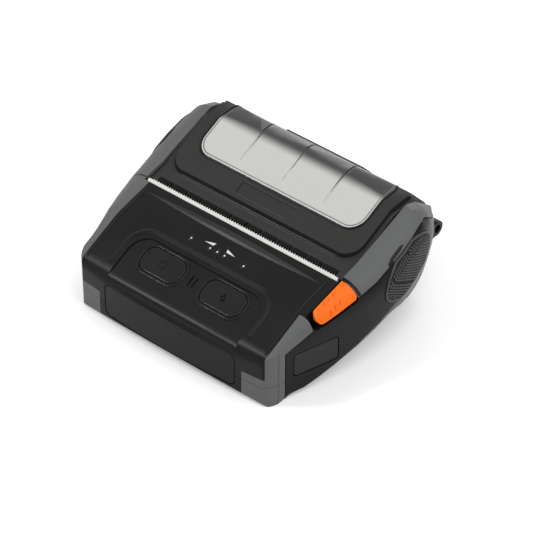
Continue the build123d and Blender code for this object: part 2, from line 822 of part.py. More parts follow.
# Control cover: the deck, with the lip that carries the tear bar
slab_top = tear_z + 0.2
lip_bottom = head_top + 0.6
lip_half = bumper_edge_half - seam_gap
cover_lip = block(-lip_half, lip_half, cover_rear_y - 2.0, cover_rear_y, lip_bottom, tear_z - 1)
below_cover = side_prism(outline(front_y, rear_y, 0, lid_drop + 0.3, 0, base_chamfer), -core_half, core_half)
cover_zone = block(-core_half, core_half, front_y, bumper_rear_y, seam_z, tall)
cover_rear = block(-core_half, core_half, bumper_rear_y, cover_rear_y, 0, tall) - below_cover
with BuildPart() as control_cover:
    add(core_shell & (cover_zone + cover_rear))
    add(corner_low_gap, mode=Mode.SUBTRACT)
    add(corner_high_gap & above_seam, mode=Mode.SUBTRACT)
    add(shoulder_gaps["right"], mode=Mode.SUBTRACT)
    add(mirror(corner_low_gap + (corner_high_gap & above_seam), Plane.YZ), mode=Mode.SUBTRACT)
    add(mirror(shoulder_gaps["left"], Plane.YZ), mode=Mode.SUBTRACT)
    add(cover_lip & core_outer)
    for shift in key_screw_shifts:
        with BuildSketch(deck_plane(0, key_board_top)):
            with Locations((-key_screw_x, shift), (key_screw_x, shift)):
                Circle(boss_radius)
        extrude(amount=key_board_top - 1.0)
    add(recess_cut, mode=Mode.SUBTRACT)
    add(battery_opening.part, mode=Mode.SUBTRACT)
    add(button_cuts.part, mode=Mode.SUBTRACT)
    add(lamp_holes.part, mode=Mode.SUBTRACT)
    add(key_screws.part, mode=Mode.SUBTRACT)
finish(control_cover, "control_cover")
with BuildPart() as tear_bar:
    add(block(-core_inner_half, core_inner_half, cover_rear_y, tear_y + 0.5, lip_bottom, slab_top))
    chamfer(tear_bar.edges().filter_by(Axis.X).group_by(Axis.Z)[-1].sort_by(Axis.Y)[0], length=1.2)
finish(tear_bar, "tear_bar")

# Battery pack: front panel, case with two cells, and the bay with its contacts
bay_rear_y = battery_front_y + pack_depth + bay_gap
pack_half = panel_half - panel_gap - pack_inset
pack_bottom = panel_bottom + panel_gap + pack_inset / 2
pack_top = panel_top - panel_gap - pack_inset / 2
pack_rear_y = battery_front_y + pack_depth
with BuildPart() as panel_shape:
    with BuildSketch(Plane.XZ.offset(-battery_front_y)):
        with Locations((0, (panel_bottom + panel_top) / 2)):
            RectangleRounded(
                2 * (panel_half - panel_gap), panel_top - panel_bottom - 2 * panel_gap, panel_corner - panel_gap
            )
    extrude(amount=panel_depth + 1)
with BuildPart() as battery_front:
    add(panel_shape.part & core_outer)
finish(battery_front, "battery_front")
cell_radius = (pack_top - pack_bottom) / 2 - pack_wall - cell_gap
cell_pitch = (pack_depth - 2 * pack_wall) / 2
cell_places = [battery_front_y + pack_wall + cell_pitch * (i + 0.5) for i in range(2)]
cell_z = (pack_bottom + pack_top) / 2
with BuildPart() as battery_case:
    add(block(-pack_half, pack_half, battery_front_y, pack_rear_y, pack_bottom, pack_top))
    fillet(battery_case.edges().filter_by(Axis.Y), radius=2.0)
    add(
        block(
            -pack_half + pack_wall, pack_half - pack_wall,
            battery_front_y + pack_wall, pack_rear_y - pack_wall,
            pack_bottom + pack_wall, pack_top - pack_wall,
        ),
        mode=Mode.SUBTRACT,
    )
    add(block(-6, 6, pack_rear_y - 2 * pack_wall, pack_rear_y + 1, cell_z - 2, cell_z + 2), mode=Mode.SUBTRACT)
finish(battery_case, "battery_case")
with BuildPart() as battery_cells:
    for y in cell_places:
        add(rod(cell_radius, -cell_length / 2, cell_length / 2, y, cell_z))
finish(battery_cells, "battery_cells")
bay_front_y = battery_front_y + 1.0
with BuildPart() as battery_bay:
    add(
        block(
            -pack_half - bay_gap - bay_wall, pack_half + bay_gap + bay_wall,
            bay_front_y, bay_rear_y + bay_wall, wall, pack_top + bay_gap + bay_wall,
        )
    )
    add(
        block(
            -pack_half - bay_gap, pack_half + bay_gap,
            bay_front_y - 1, bay_rear_y, pack_bottom - bay_gap, pack_top + bay_gap,
        ),
        mode=Mode.SUBTRACT,
    )
    add(
        block(-contact_size, contact_size, bay_rear_y - 1, bay_rear_y + 2 * bay_wall, cell_z - 2.4, cell_z + 2.4),
        mode=Mode.SUBTRACT,
    )
    add(core_inner, mode=Mode.INTERSECT)
finish(battery_bay, "battery_bay")
with BuildPart() as contact_block:
    add(block(-contact_size, contact_size, bay_rear_y, bay_rear_y + 3 * bay_wall, cell_z - 2.4, cell_z + 2.4))
    add(
        block(
            -contact_size - 2, contact_size + 2,
            bay_rear_y + bay_wall, bay_rear_y + 2 * bay_wall, cell_z - 4, cell_z + 4,
        )
    )
finish(contact_block, "contact_block")

# Gear train centres, from the platen down to the motor
idler_distance = gear_module * (platen_teeth + idler_teeth) / 2 + mesh_gap
pinion_distance = gear_module * (idler_teeth + pinion_teeth) / 2 + mesh_gap
idler_y = platen_y + idler_distance * cos(radians(idler_direction))
idler_z = platen_z + idler_distance * sin(radians(idler_direction))
motor_y = idler_y + pinion_distance * cos(radians(pinion_direction))
motor_z = idler_z + pinion_distance * sin(radians(pinion_direction))


def tooth_points(teeth, phase):
    """Outline of a small moulded gear with straight-sided teeth."""
    pitch_radius = gear_module * teeth / 2
    points = []
    for tooth in range(teeth):
        centre = phase + 360 * tooth / teeth
        for share, radius in (
            (-0.33, pitch_radius - 1.2 * gear_module),
            (-0.13, pitch_radius + 0.85 * gear_module),
            (0.13, pitch_radius + 0.85 * gear_module),
            (0.33, pitch_radius - 1.2 * gear_module),
        ):
            angle = radians(centre + 360 * share / teeth)
            points.append((radius * cos(angle), radius * sin(angle)))
    return points


def gear(teeth, phase, y, z, bore):
    """A spur gear on the left, with its axle along X."""
    with BuildPart() as wheel:
        with BuildSketch(Plane.YZ.offset(-gear_inner - gear_thickness)):
            with Locations((y, z)):
                with BuildLine():
                    Polyline(*[(y + a, z + b) for a, b in tooth_points(teeth, phase)], close=True)
                make_face()
                Circle(bore, mode=Mode.SUBTRACT)
        extrude(amount=gear_thickness)
    return wheel.part


platen_phase = idler_direction
idler_phase = idler_direction + 180 + 180 / idler_teeth
idler_lead = (pinion_direction - idler_phase) % (360 / idler_teeth)
pinion_phase = pinion_direction + 180 + idler_lead * idler_teeth / pinion_teeth + 180 / pinion_teeth

with BuildPart() as platen_gear:
    add(gear(platen_teeth, platen_phase, platen_y, platen_z, platen_shaft_radius))
finish(platen_gear, "platen_gear")
with BuildPart() as idler_gear:
    add(gear(idler_teeth, idler_phase, idler_y, idler_z, axle_radius + pivot_play))
finish(idler_gear, "idler_gear")
with BuildPart() as motor_pinion:
    add(gear(pinion_teeth, pinion_phase, motor_y, motor_z, motor_shaft_radius))
finish(motor_pinion, "motor_pinion")
with BuildPart() as motor_shaft:
    shaft_end = -plate_inner + motor_length - 2
    add(rod(motor_shaft_radius, -gear_inner - gear_thickness, shaft_end, motor_y, motor_z))
finish(motor_shaft, "motor_shaft")
with BuildPart() as stepper_motor:
    add(rod(motor_radius, -plate_inner, -plate_inner + motor_length, motor_y, motor_z))
    chamfer(stepper_motor.edges().filter_by(GeomType.CIRCLE), length=0.6)
    add(
        rod(motor_shaft_radius + pivot_play, -plate_inner - 1, shaft_end + 0.5, motor_y, motor_z),
        mode=Mode.SUBTRACT,
    )
finish(stepper_motor, "stepper_motor")
with BuildPart() as idler_axle:
    add(rod(axle_radius, -gear_inner - gear_thickness - 0.3, -plate_inner, idler_y, idler_z))
    add(rod(axle_radius + 0.8, -gear_inner + 0.2, -plate_inner - plate_thickness, idler_y, idler_z))
finish(idler_axle, "idler_axle")

# Platen roller, carried by the lid
with BuildPart() as platen_shaft:
    add(rod(platen_shaft_radius, -gear_inner - gear_thickness, bush_outer, platen_y, platen_z))
    add(rod(platen_core_radius, -platen_half, platen_half, platen_y, platen_z))
finish(platen_shaft, "platen_shaft")
with BuildPart() as platen_rubber:
    add(rod(platen_radius, -platen_half, platen_half, platen_y, platen_z, platen_core_radius))
finish(platen_rubber, "platen_rubber")
with BuildPart() as platen_bushes:
    for start, end in ((-bush_outer, -arm_inner), (arm_inner, bush_outer)):
        add(rod(bush_radius, start, end, platen_y, platen_z, platen_shaft_radius + pivot_play))
finish(platen_bushes, "platen_bushes")

# Print head in front of the platen, pushed by three springs
head_y = platen_y - platen_radius - head_gap
sink_y = head_y - head_thickness
spring_z = (head_bottom + head_top) / 2
spring_places = [-34.0, 0.0, 34.0]
with BuildPart() as print_head:
    add(block(-platen_half, platen_half, sink_y, head_y, head_bottom, head_top))
finish(print_head, "print_head")
with BuildPart() as head_sink:
    add(block(-platen_half, platen_half, sink_y - sink_thickness, sink_y, head_bottom, head_top))
    with BuildSketch(Plane.XZ.offset(-sink_y + sink_thickness)):
        with Locations(*[(x, spring_z) for x in spring_places]):
            Circle(head_spring_bore)
    extrude(amount=1.5)
finish(head_sink, "head_sink")
with BuildPart() as head_springs:
    with BuildSketch(Plane.XZ.offset(-frame_y)):
        with Locations(*[(x, spring_z) for x in spring_places]):
            Circle(head_spring_radius)
            Circle(head_spring_bore, mode=Mode.SUBTRACT)
    extrude(amount=-(sink_y - sink_thickness - frame_y))
finish(head_springs, "head_springs")

# Mechanism frame: back plate, two side plates and feet
frame_top = head_top - 1.8
frame_rear_y = platen_y + bush_radius + 1.1
slot_half = bush_radius + 0.15
side_plate = side_polygon(
    [
        (frame_y - plate_thickness, wall), (frame_rear_y, wall), (frame_rear_y, frame_top),
        (frame_y - plate_thickness, frame_top),
    ],
    plate_inner, plate_inner + plate_thickness,
)
bush_slot = block(
    -plate_inner - 2, plate_inner + 2, platen_y - slot_half, platen_y + slot_half, platen_z, tall
) + rod(slot_half, -plate_inner - 2, plate_inner + 2, platen_y, platen_z)
foot_width = 8.0
foot_x = plate_inner - foot_width / 2 - 0.2
feet_places = [(x, y) for x in (-foot_x, foot_x) for y in (frame_y + 4.0, frame_rear_y - 3.5)]
with BuildPart() as frame_screw_group:
    with BuildSketch(Plane.XY.offset(wall + plate_thickness)):
        with Locations(*feet_places):
            Circle(1.8)
    extrude(amount=0.8)
finish(frame_screw_group, "frame_screws")
with BuildPart() as mechanism_frame:
    add(side_plate)
    add(mirror(side_plate, Plane.YZ))
    add(
        block(
            -plate_inner - plate_thickness, plate_inner + plate_thickness,
            frame_y - plate_thickness, frame_y, pack_top + bay_gap + bay_wall + 0.3, frame_top,
        )
    )
    for sign in (-1, 1):
        near, far = sorted((sign * (plate_inner - foot_width), sign * plate_inner))
        add(block(near, far, frame_y, frame_rear_y, wall, wall + plate_thickness))
    add(bush_slot, mode=Mode.SUBTRACT)
    add(rod(release_radius + pivot_play, -core_half, core_half, release_y, release_z), mode=Mode.SUBTRACT)
    add(rod(axle_radius, -core_half, -arm_inner, idler_y, idler_z), mode=Mode.SUBTRACT)
    add(rod(motor_shaft_radius + 0.4, -core_half, -arm_inner, motor_y, motor_z), mode=Mode.SUBTRACT)
finish(mechanism_frame, "mechanism_frame")
guide_z = platen_z - platen_radius - 3.0
with BuildPart() as paper_guide:
    add(block(-plate_inner, plate_inner, release_y + 5.2, frame_rear_y, guide_z, guide_z + plate_thickness))
finish(paper_guide, "paper_guide")
with BuildPart() as paper_sensor:
    add(block(10, 18, platen_y - 2.5, platen_y + 2.5, guide_z + plate_thickness, guide_z + plate_thickness + 1.5))
finish(paper_sensor, "paper_sensor")

# Release shaft with a hook at each end over the platen bushes, and a crank for the latch
hook_points = [
    (release_y - 2.2, release_z), (release_y + 2.2, release_z),
    (platen_y - bush_radius - 0.7, platen_z - 4.0), (platen_y - bush_radius - 0.5, platen_z + 1.0),
    (platen_y - bush_radius - 0.5, platen_z + 5.1), (release_y + 1.2, platen_z + 5.1),
    (release_y - 1.0, platen_z + 2.0),
]
hook = side_polygon(hook_points, hook_inner, hook_inner + hook_thickness)
crank_points = [
    (release_y - 2.7, release_z), (release_y + 2.7, release_z),
    (release_y + 2.7, peg_reach + 2.6), (release_y - 2.7, peg_reach + 2.6),
]
crank_inner = gear_inner + 0.2
crank = side_polygon(crank_points, crank_inner, crank_inner + 1.0)
with BuildPart() as release_shaft:
    add(rod(release_radius, -plate_inner - plate_thickness - 0.4, crank_inner + 1.0, release_y, release_z))
    add(hook)
    add(mirror(hook, Plane.YZ))
    add(rod(2.3, hook_inner, hook_inner + hook_thickness, release_y, release_z))
    add(rod(2.3, -hook_inner - hook_thickness, -hook_inner, release_y, release_z))
    add(crank)
    add(rod(2.7, crank_inner, crank_inner + 1.0, release_y, release_z))
    add(
        block(
            crank_inner - 1, crank_inner + 2, release_y - 1.45, release_y + 1.45,
            peg_reach - 2.2, peg_reach + 6,
        ),
        mode=Mode.SUBTRACT,
    )
finish(release_shaft, "release_shaft")

# Paper roll in its well
well_outer = roll_radius + well_gap + well_thickness
cheek_x = roll_half + roll_end_gap
with BuildPart() as paper_roll:
    add(rod(roll_radius, -roll_half, roll_half, roll_y, roll_z, core_radius))
finish(paper_roll, "paper_roll")
with BuildPart() as roll_core:
    add(rod(core_radius, -roll_half, roll_half, roll_y, roll_z, core_bore))
finish(roll_core, "roll_core")
with BuildPart() as paper_well:
    add(rod(well_outer, -cheek_x, cheek_x, roll_y, roll_z, roll_radius + well_gap))
    add(rod(well_outer, -cheek_x - cheek_thickness, -cheek_x, roll_y, roll_z))
    add(rod(well_outer, cheek_x, cheek_x + cheek_thickness, roll_y, roll_z))
    add(block(-core_half, core_half, front_y, overall_length, well_top, tall), mode=Mode.SUBTRACT)
finish(paper_well, "paper_well")

# Spring that turns the release shaft back, with the latch
with BuildPart() as release_spring:
    add(rod(2.2, -hook_inner + 0.4, -hook_inner + 5.4, release_y, release_z, release_radius + 0.15))
finish(release_spring, "release_spring")

# Main board on its posts, and the interface board behind the cover flap
with BuildPart() as main_board:
    add(block(*main_board_x, *main_board_y, wall + board_lift, wall + board_lift + board_thickness))
finish(main_board, "main_board")
io_top = post_top + board_thickness
socket_face_x = core_half + 0.9
with BuildPart() as interface_board:
    add(block(panel_half + 4.0, socket_face_x - 2.0, socket_y - 9.5, socket_y + 11.0, post_top, io_top))
finish(interface_board, "interface_board")
with BuildPart() as charge_socket:
    add(block(socket_face_x - 9.0, socket_face_x, socket_y - 8.5, socket_y + 0.5, io_top, io_top + 10.0))
    with BuildSketch(Plane.YZ.offset(socket_face_x)):
        with Locations((socket_y - 4.0, io_top + 5.0)):
            Circle(3.2)
            Circle(1.0, mode=Mode.SUBTRACT)
    extrude(amount=-8.0, mode=Mode.SUBTRACT)
finish(charge_socket, "charge_socket")
with BuildPart() as usb_socket:
    add(block(socket_face_x - 8.0, socket_face_x, socket_y + 2.0, socket_y + 10.0, io_top, io_top + 4.0))
    with BuildSketch(Plane.YZ.offset(socket_face_x)):
        with Locations((socket_y + 6.0, io_top + 2.0)):
            Rectangle(7.0, 3.0)
            Rectangle(5.0, 1.0, mode=Mode.SUBTRACT)
    extrude(amount=-6.0, mode=Mode.SUBTRACT)
finish(usb_socket, "usb_socket")

# Lid: a skin over the whole top, with a raised panel that holds the window
flange_outer = body(core_half, flange_step, 0.0, 0.0)
lid_inner = body(core_half, lid_drop, lid_skin, 0.0)
raised_plan = plan_slab(raised_half, raised_front_y, rear_y + 2 * raised_corner, raised_corner, 0, tall)
window_plan = plan_slab(window_half, window_front_y, window_rear_y, window_corner, 0, tall)
window_sight = plan_slab(
    window_half - window_ledge, window_front_y + window_ledge, window_rear_y - window_ledge,
    window_corner - window_ledge, 0, tall,
)
window_floor = body(core_half, window_thickness, 0.0, 0.0)
comb_floor = body(core_half, flange_step + comb_depth, 0.0, 0.0)
plate_floor = body(core_half, plate_recess, 0.0, 0.0)
comb_slots = [
    block(x - comb_slot / 2, x + comb_slot / 2, lid_front_y - 1, lid_front_y + comb_reach, 0, tall)
    for x in [comb_pitch * (i - (comb_count - 1) / 2) for i in range(comb_count)]
]
plate_plan = plan_slab(plate_length / 2, plate_y - plate_width / 2, plate_y + plate_width / 2, 1.0, 0, tall)
lid_barrels = [rod(barrel_radius, a, b, hinge_y, hinge_z) for a, b in lid_knuckles]
lid_webs = [block(a, b, rear_y - lid_skin, rear_y, hinge_z, skirt_bottom + 0.2) for a, b in lid_knuckles]
with BuildPart() as lid_shell:
    add(flange_outer + (core_outer & raised_plan))
    add(lid_inner, mode=Mode.SUBTRACT)
    add(block(-lid_half, lid_half, lid_front_y, rear_y, hinge_z, tall), mode=Mode.INTERSECT)
    add(block(-core_half, core_half, crest_y, rear_y + 1, 0, skirt_bottom), mode=Mode.SUBTRACT)
    add(window_plan - window_floor, mode=Mode.SUBTRACT)
    add(window_sight, mode=Mode.SUBTRACT)
    for slot in comb_slots:
        add(slot - comb_floor, mode=Mode.SUBTRACT)
    add(plate_plan - plate_floor, mode=Mode.SUBTRACT)
    add(lid_webs)
    add(lid_barrels)
    add(
        rod(hinge_pin_radius + pivot_play, -knuckle_ends[3], knuckle_ends[3], hinge_y, hinge_z),
        mode=Mode.SUBTRACT,
    )
finish(lid_shell, "lid_shell")
window_shape = plan_slab(
    window_half - window_gap, window_front_y + window_gap, window_rear_y - window_gap,
    window_corner - window_gap, 0, tall,
)
groove_floor = body(core_half, groove_depth, 0.0, 0.0)
with BuildPart() as lid_window:
    add((core_outer & window_shape) - window_floor)
    for x in (-groove_pitch, 0.0, groove_pitch):
        groove = block(
            x - groove_width / 2, x + groove_width / 2, window_front_y + 6.0, rear_y, 0, tall
        )
        add(groove - groove_floor, mode=Mode.SUBTRACT)
finish(lid_window, "lid_window")
rear_slope = atan2(crest_peak_z - rear_top_z, rear_y - crest_y)
proud_shift = (0, hinge_cover_proud * sin(rear_slope), hinge_cover_proud * cos(rear_slope))
with BuildPart() as hinge_cover:
    add(core_outer.moved(Location(proud_shift)) - core_outer)
    add(
        block(-hinge_cover_half, hinge_cover_half, crest_y, rear_y + 4, skirt_bottom, hinge_cover_top),
        mode=Mode.INTERSECT,
    )
finish(hinge_cover, "hinge_cover")
beam_y = (platen_y + 6.3, platen_y + 8.5)
beam_z = (platen_z + 4.5, platen_z + 8.0)
with BuildPart() as lid_frame:
    for side, sign in sides.items():
        near, far = sorted((sign * arm_inner, sign * (arm_inner + arm_thickness)))
        add(rod(arm_radius, near, far, platen_y, platen_z))
        add(block(near, far, platen_y - arm_radius + 1, platen_y + arm_radius, platen_z, tall))
        add(block(near, far, platen_y, beam_y[1], beam_z[0], tall))
    add(block(-arm_inner, arm_inner, *beam_y, *beam_z))
    for x in (-20.0, 20.0):
        add(block(x - 1, x + 1, *beam_y, beam_z[0], tall))
    add(lid_inner, mode=Mode.INTERSECT)
    add(rod(bush_radius, -bush_outer, bush_outer, platen_y, platen_z), mode=Mode.SUBTRACT)
finish(lid_frame, "lid_frame")
with BuildPart() as hinge_pins:
    add(rod(hinge_pin_radius, pin_inner, knuckle_ends[3] - 0.2, hinge_y, hinge_z))
    mirror(about=Plane.YZ)
finish(hinge_pins, "hinge_pins")

# Belt clip on the back, sprung at the foot, and a strap lug at each rear corner
clip_outer_y = rear_y + rear_reach
bracket_face = rear_y + bracket_thickness
clip_y = bracket_face + clip_barrel_radius + clip_pivot_gap
ear_top = clip_pivot_z + 3.2
with BuildPart() as clip_bracket:
    add(block(-bracket_half, bracket_half, rear_y, bracket_face, bracket_bottom, bracket_top))
    fillet(clip_bracket.edges().filter_by(Axis.Y), radius=2.0)
    for near in (-ear_inner - ear_thickness, ear_inner):
        add(block(near, near + ear_thickness, rear_y, clip_y, clip_pivot_z - 3.2, ear_top))
        add(rod(3.2, near, near + ear_thickness, clip_y, clip_pivot_z))
    add(rod(clip_pin_radius, -ear_inner - 3, ear_inner + 3, clip_y, clip_pivot_z), mode=Mode.SUBTRACT)
finish(clip_bracket, "clip_bracket")
with BuildPart() as clip_pin:
    add(
        rod(clip_pin_radius, -ear_inner - ear_thickness, ear_inner + ear_thickness, clip_y, clip_pivot_z)
    )
finish(clip_pin, "clip_pin")
with BuildPart() as clip_spring:
    add(
        rod(
            clip_spring_radius, -clip_spring_half, clip_spring_half, clip_y, clip_pivot_z,
            clip_pin_radius + 0.15,
        )
    )
finish(clip_spring, "clip_spring")
with BuildPart() as belt_clip:
    add(block(-clip_half, clip_half, clip_outer_y - clip_thickness, clip_outer_y, clip_bottom, clip_top))
    fillet(belt_clip.edges().filter_by(Axis.Y), radius=4.0)
    for near in (-ear_inner - ear_thickness, ear_inner):
        add(
            block(
                near - 0.3, near + ear_thickness + 0.3, clip_y, clip_outer_y + 1,
                clip_pivot_z - 3.4, clip_pivot_z + 3.4,
            ),
            mode=Mode.SUBTRACT,
        )
    add(
        block(
            -clip_half + 4, clip_half - 4, clip_outer_y - clip_thickness - clip_lip, clip_outer_y,
            clip_bottom, clip_bottom + clip_thickness,
        )
    )
    barrel_end = ear_inner - 0.3
    for near, far in ((-barrel_end, -clip_spring_half - 0.4), (clip_spring_half + 0.4, barrel_end)):
        add(rod(clip_barrel_radius, near, far, clip_y, clip_pivot_z))
        add(block(near, far, clip_y, clip_outer_y, clip_pivot_z - 1.6, clip_pivot_z + 1.6))
    add(
        rod(clip_pin_radius + pivot_play, -clip_half, clip_half, clip_y, clip_pivot_z),
        mode=Mode.SUBTRACT,
    )
finish(belt_clip, "belt_clip")
lug_y = clip_outer_y - lug_radius
with BuildPart() as strap_lugs:
    add(rod(lug_radius, lug_x - lug_length, lug_x, lug_y, lug_z))
    add(block(lug_x - lug_length, lug_x, rear_y, lug_y, lug_z - 1.0, lug_z + 1.0))
    add(
        block(
            lug_x - lug_length, lug_x, rear_y - 2, rear_y + lug_plate, lug_z - lug_radius, lug_z + lug_radius
        )
    )
    add(core_outer, mode=Mode.SUBTRACT)
    add(side_outer, mode=Mode.SUBTRACT)
    add(rod(lug_bore, lug_x - lug_length - 1, lug_x + 1, lug_y, lug_z), mode=Mode.SUBTRACT)
    mirror(about=Plane.YZ)
finish(strap_lugs, "strap_lugs")
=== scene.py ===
# %% [markdown]
# # Portable receipt printer
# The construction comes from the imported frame: every casing, gear and button is already there at
# its real size. This lesson gives those pieces their rounded edges, their small moulded details
# and their finishes, then sets up a plain pale studio around them. The scene is in metres, and
# sizes are written in millimetres and multiplied by MM.

# %% Load the frame
import bpy
import json
from math import cos, pi, radians, sin, tan
from mathutils import Matrix, Vector


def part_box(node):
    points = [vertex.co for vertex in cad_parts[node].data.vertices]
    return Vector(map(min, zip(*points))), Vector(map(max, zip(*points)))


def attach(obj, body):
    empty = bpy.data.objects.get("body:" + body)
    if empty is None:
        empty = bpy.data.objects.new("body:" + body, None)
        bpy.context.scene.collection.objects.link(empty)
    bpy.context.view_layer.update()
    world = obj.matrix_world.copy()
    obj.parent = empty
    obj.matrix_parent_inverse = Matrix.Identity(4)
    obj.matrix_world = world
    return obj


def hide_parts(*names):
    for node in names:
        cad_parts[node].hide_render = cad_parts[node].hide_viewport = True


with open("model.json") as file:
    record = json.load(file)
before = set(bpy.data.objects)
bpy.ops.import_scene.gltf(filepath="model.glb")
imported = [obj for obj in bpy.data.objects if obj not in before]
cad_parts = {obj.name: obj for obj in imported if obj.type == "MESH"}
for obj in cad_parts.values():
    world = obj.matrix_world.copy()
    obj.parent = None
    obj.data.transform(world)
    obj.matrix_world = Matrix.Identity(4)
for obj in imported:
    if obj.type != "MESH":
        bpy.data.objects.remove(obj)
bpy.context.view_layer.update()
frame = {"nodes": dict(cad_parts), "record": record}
MM = 0.001
print("nodes in the frame:", len(frame["nodes"]))

# %% [markdown]
# Operators act on whatever is selected, and the loader leaves every node selected. So each step
# starts by deselecting everything and making one object active, exactly as a click would. A
# modifier is added and applied in the same way.


# %% Selecting
def deselect():
    """Leave edit mode and clear the selection."""
    if bpy.context.object and bpy.context.object.mode != "OBJECT":
        bpy.ops.object.mode_set(mode="OBJECT")
    bpy.ops.object.select_all(action="DESELECT")


def activate(piece):
    """Make one object the only selected and active one."""
    deselect()
    piece.select_set(True)
    bpy.context.view_layer.objects.active = piece


# %% Applying a modifier
def apply_modifier(piece, kind, **settings):
    """Add a modifier with its settings and apply it."""
    activate(piece)
    bpy.ops.object.modifier_add(type=kind)
    modifier = piece.modifiers[-1]
    for name, value in settings.items():
        setattr(modifier, name, value)
    bpy.ops.object.modifier_apply(modifier=modifier.name)


# %% [markdown]
# Which body a node rides on and which slot it has are written in the record, so the lesson reads
# them from there.

# %% Bodies and slots of the nodes
record = frame["record"]
body_of = {node: body for body, nodes in record["behaviour"]["bodies"].items() for node in nodes}
slot_of = {part["node"]: part["material_slot"] for part in record["subparts"]}
print("bodies:", len(set(body_of.values())), "slots:", len(set(slot_of.values())))

# %% [markdown]
# A moulded edge is never sharp: the mould itself has a small radius, and that radius is what
# catches the light. The edges could be picked and beveled one by one in edit mode. Here a copy of
# each casing is merged into clean faces and the Bevel modifier rounds every edge above an angle,
# which treats all the casings alike. The Weighted Normal modifier keeps the flat faces flat.
# The nodes of the frame are loose triangles that already point the right way, so they are left
# alone, and only a copy is merged.

# %% A merged copy
MERGE_DISTANCE = 0.01 * MM
FLAT_ANGLE = radians(0.5)


def new_piece(name, data):
    """An object for a mesh, a curve, a lamp or a camera, placed in the scene."""
    piece = bpy.data.objects.new(name, data)
    bpy.context.scene.collection.objects.link(piece)
    return piece


def merged_copy(node, name):
    """A copy of a CAD node whose loose triangles are merged into clean faces."""
    piece = new_piece(name, frame["nodes"][node].data.copy())
    activate(piece)
    bpy.ops.object.mode_set(mode="EDIT")
    bpy.ops.mesh.select_all(action="SELECT")
    bpy.ops.mesh.remove_doubles(threshold=MERGE_DISTANCE)
    bpy.ops.mesh.dissolve_limited(angle_limit=FLAT_ANGLE)
    bpy.ops.object.mode_set(mode="OBJECT")
    return piece


# %% Rounding and shading
SMOOTH_ANGLE = radians(38)
EDGE_ANGLE = radians(32)
FLAT_WEIGHT = 60


def shade(piece):
    """Smooth shading that keeps the true edges and the flat faces."""
    activate(piece)
    bpy.ops.object.shade_smooth_by_angle(angle=SMOOTH_ANGLE)
    apply_modifier(piece, "WEIGHTED_NORMAL", keep_sharp=True, weight=FLAT_WEIGHT)


def rounded(node, rim):
    """A casing copy with its edges rounded by rim millimetres, in the place of its node."""
    piece = merged_copy(node, node + "_moulded")
    apply_modifier(
        piece, "BEVEL", width=rim * MM, segments=2, limit_method="ANGLE",
        angle_limit=EDGE_ANGLE, use_clamp_overlap=True, miter_outer="MITER_ARC",
    )
    shade(piece)
    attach(piece, body_of[node])
    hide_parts(node)
    return piece


# %% [markdown]
# The nodes that show get a rounded copy, each with the radius in millimetres that such a mould has
# there. What lies inside stays as the frame gives it.

# %% Rounded copies of the casings
RIMS = {
    "lower_case": 0.4, "control_cover": 0.35, "front_bumper_left": 0.35, "front_bumper_right": 0.35,
    "rear_bumpers": 0.35, "side_panel_left": 0.4, "side_panel_right": 0.4, "corner_feet": 0.4,
    "battery_front": 0.5, "lid_shell": 0.35, "lid_window": 0.3, "hinge_cover": 0.3,
    "latch_button": 0.35, "interface_cover": 0.3, "power_button": 0.45, "feed_button": 0.45,
    "button_bezels": 0.4, "lamp_lenses": 0.15, "belt_clip": 0.4, "clip_bracket": 0.3,
    "strap_lugs": 0.4, "tear_bar": 0.2, "grip_pads": 0.3,
}
pieces = {node: rounded(node, rim) for node, rim in RIMS.items()}
print("rounded pieces:", len(pieces))

# %% [markdown]
# Every finish is a small node tree on the Principled shader. One function adds a node with its
# settings and links, and one turns the hex colours, which are sRGB as on a screen, into the
# linear values that the shader wants.


# %% Material helpers
def linear(hex_colour):
    """An sRGB hex colour as linear RGBA."""
    channels = [int(hex_colour[i:i + 2], 16) / 255 for i in (1, 3, 5)]
    return [c / 12.92 if c <= 0.04045 else ((c + 0.055) / 1.055) ** 2.4 for c in channels] + [1.0]


def add_node(tree, kind, inputs=None, **settings):
    """Add a node, set its properties, and set or link its inputs."""
    node = tree.nodes.new(kind)
    for name, value in settings.items():
        setattr(node, name, value)
    for socket, value in (inputs or {}).items():
        if isinstance(value, bpy.types.NodeSocket):
            tree.links.new(value, node.inputs[socket])
        else:
            node.inputs[socket].default_value = value
    return node


def new_material(name, hex_colour, roughness, **sockets):
    """A material with its plain shader values; returns it with its tree and shader."""
    material = bpy.data.materials.new(name)
    material.use_nodes = True
    tree = material.node_tree
    shader = tree.nodes["Principled BSDF"]
    shader.inputs["Base Color"].default_value = linear(hex_colour)
    shader.inputs["Roughness"].default_value = roughness
    for socket, value in sockets.items():
        shader.inputs[socket.replace("_", " ")].default_value = value
    return material, tree, shader


def per_metre(size_mm):
    """Texture scale for a pattern whose features are size_mm across."""
    return 1 / (size_mm * MM)


# %% [markdown]
# The casing is moulded ABS from a spark-eroded mould: a deep black with an even, very fine grain
# that breaks the reflections into a soft sheen. The real grain is about 0.2 mm across, and it is
# drawn about twice as coarse, so that it shows at this distance. Broad, faint clouds in the
# roughness are the handling marks that every matt black plastic has. Rubber, paper and board are
# made by the same function with their own colours, grain and roughness.


# %% Moulded plastic
CLOUD_MM = 35
MARK_RANGE = 0.05


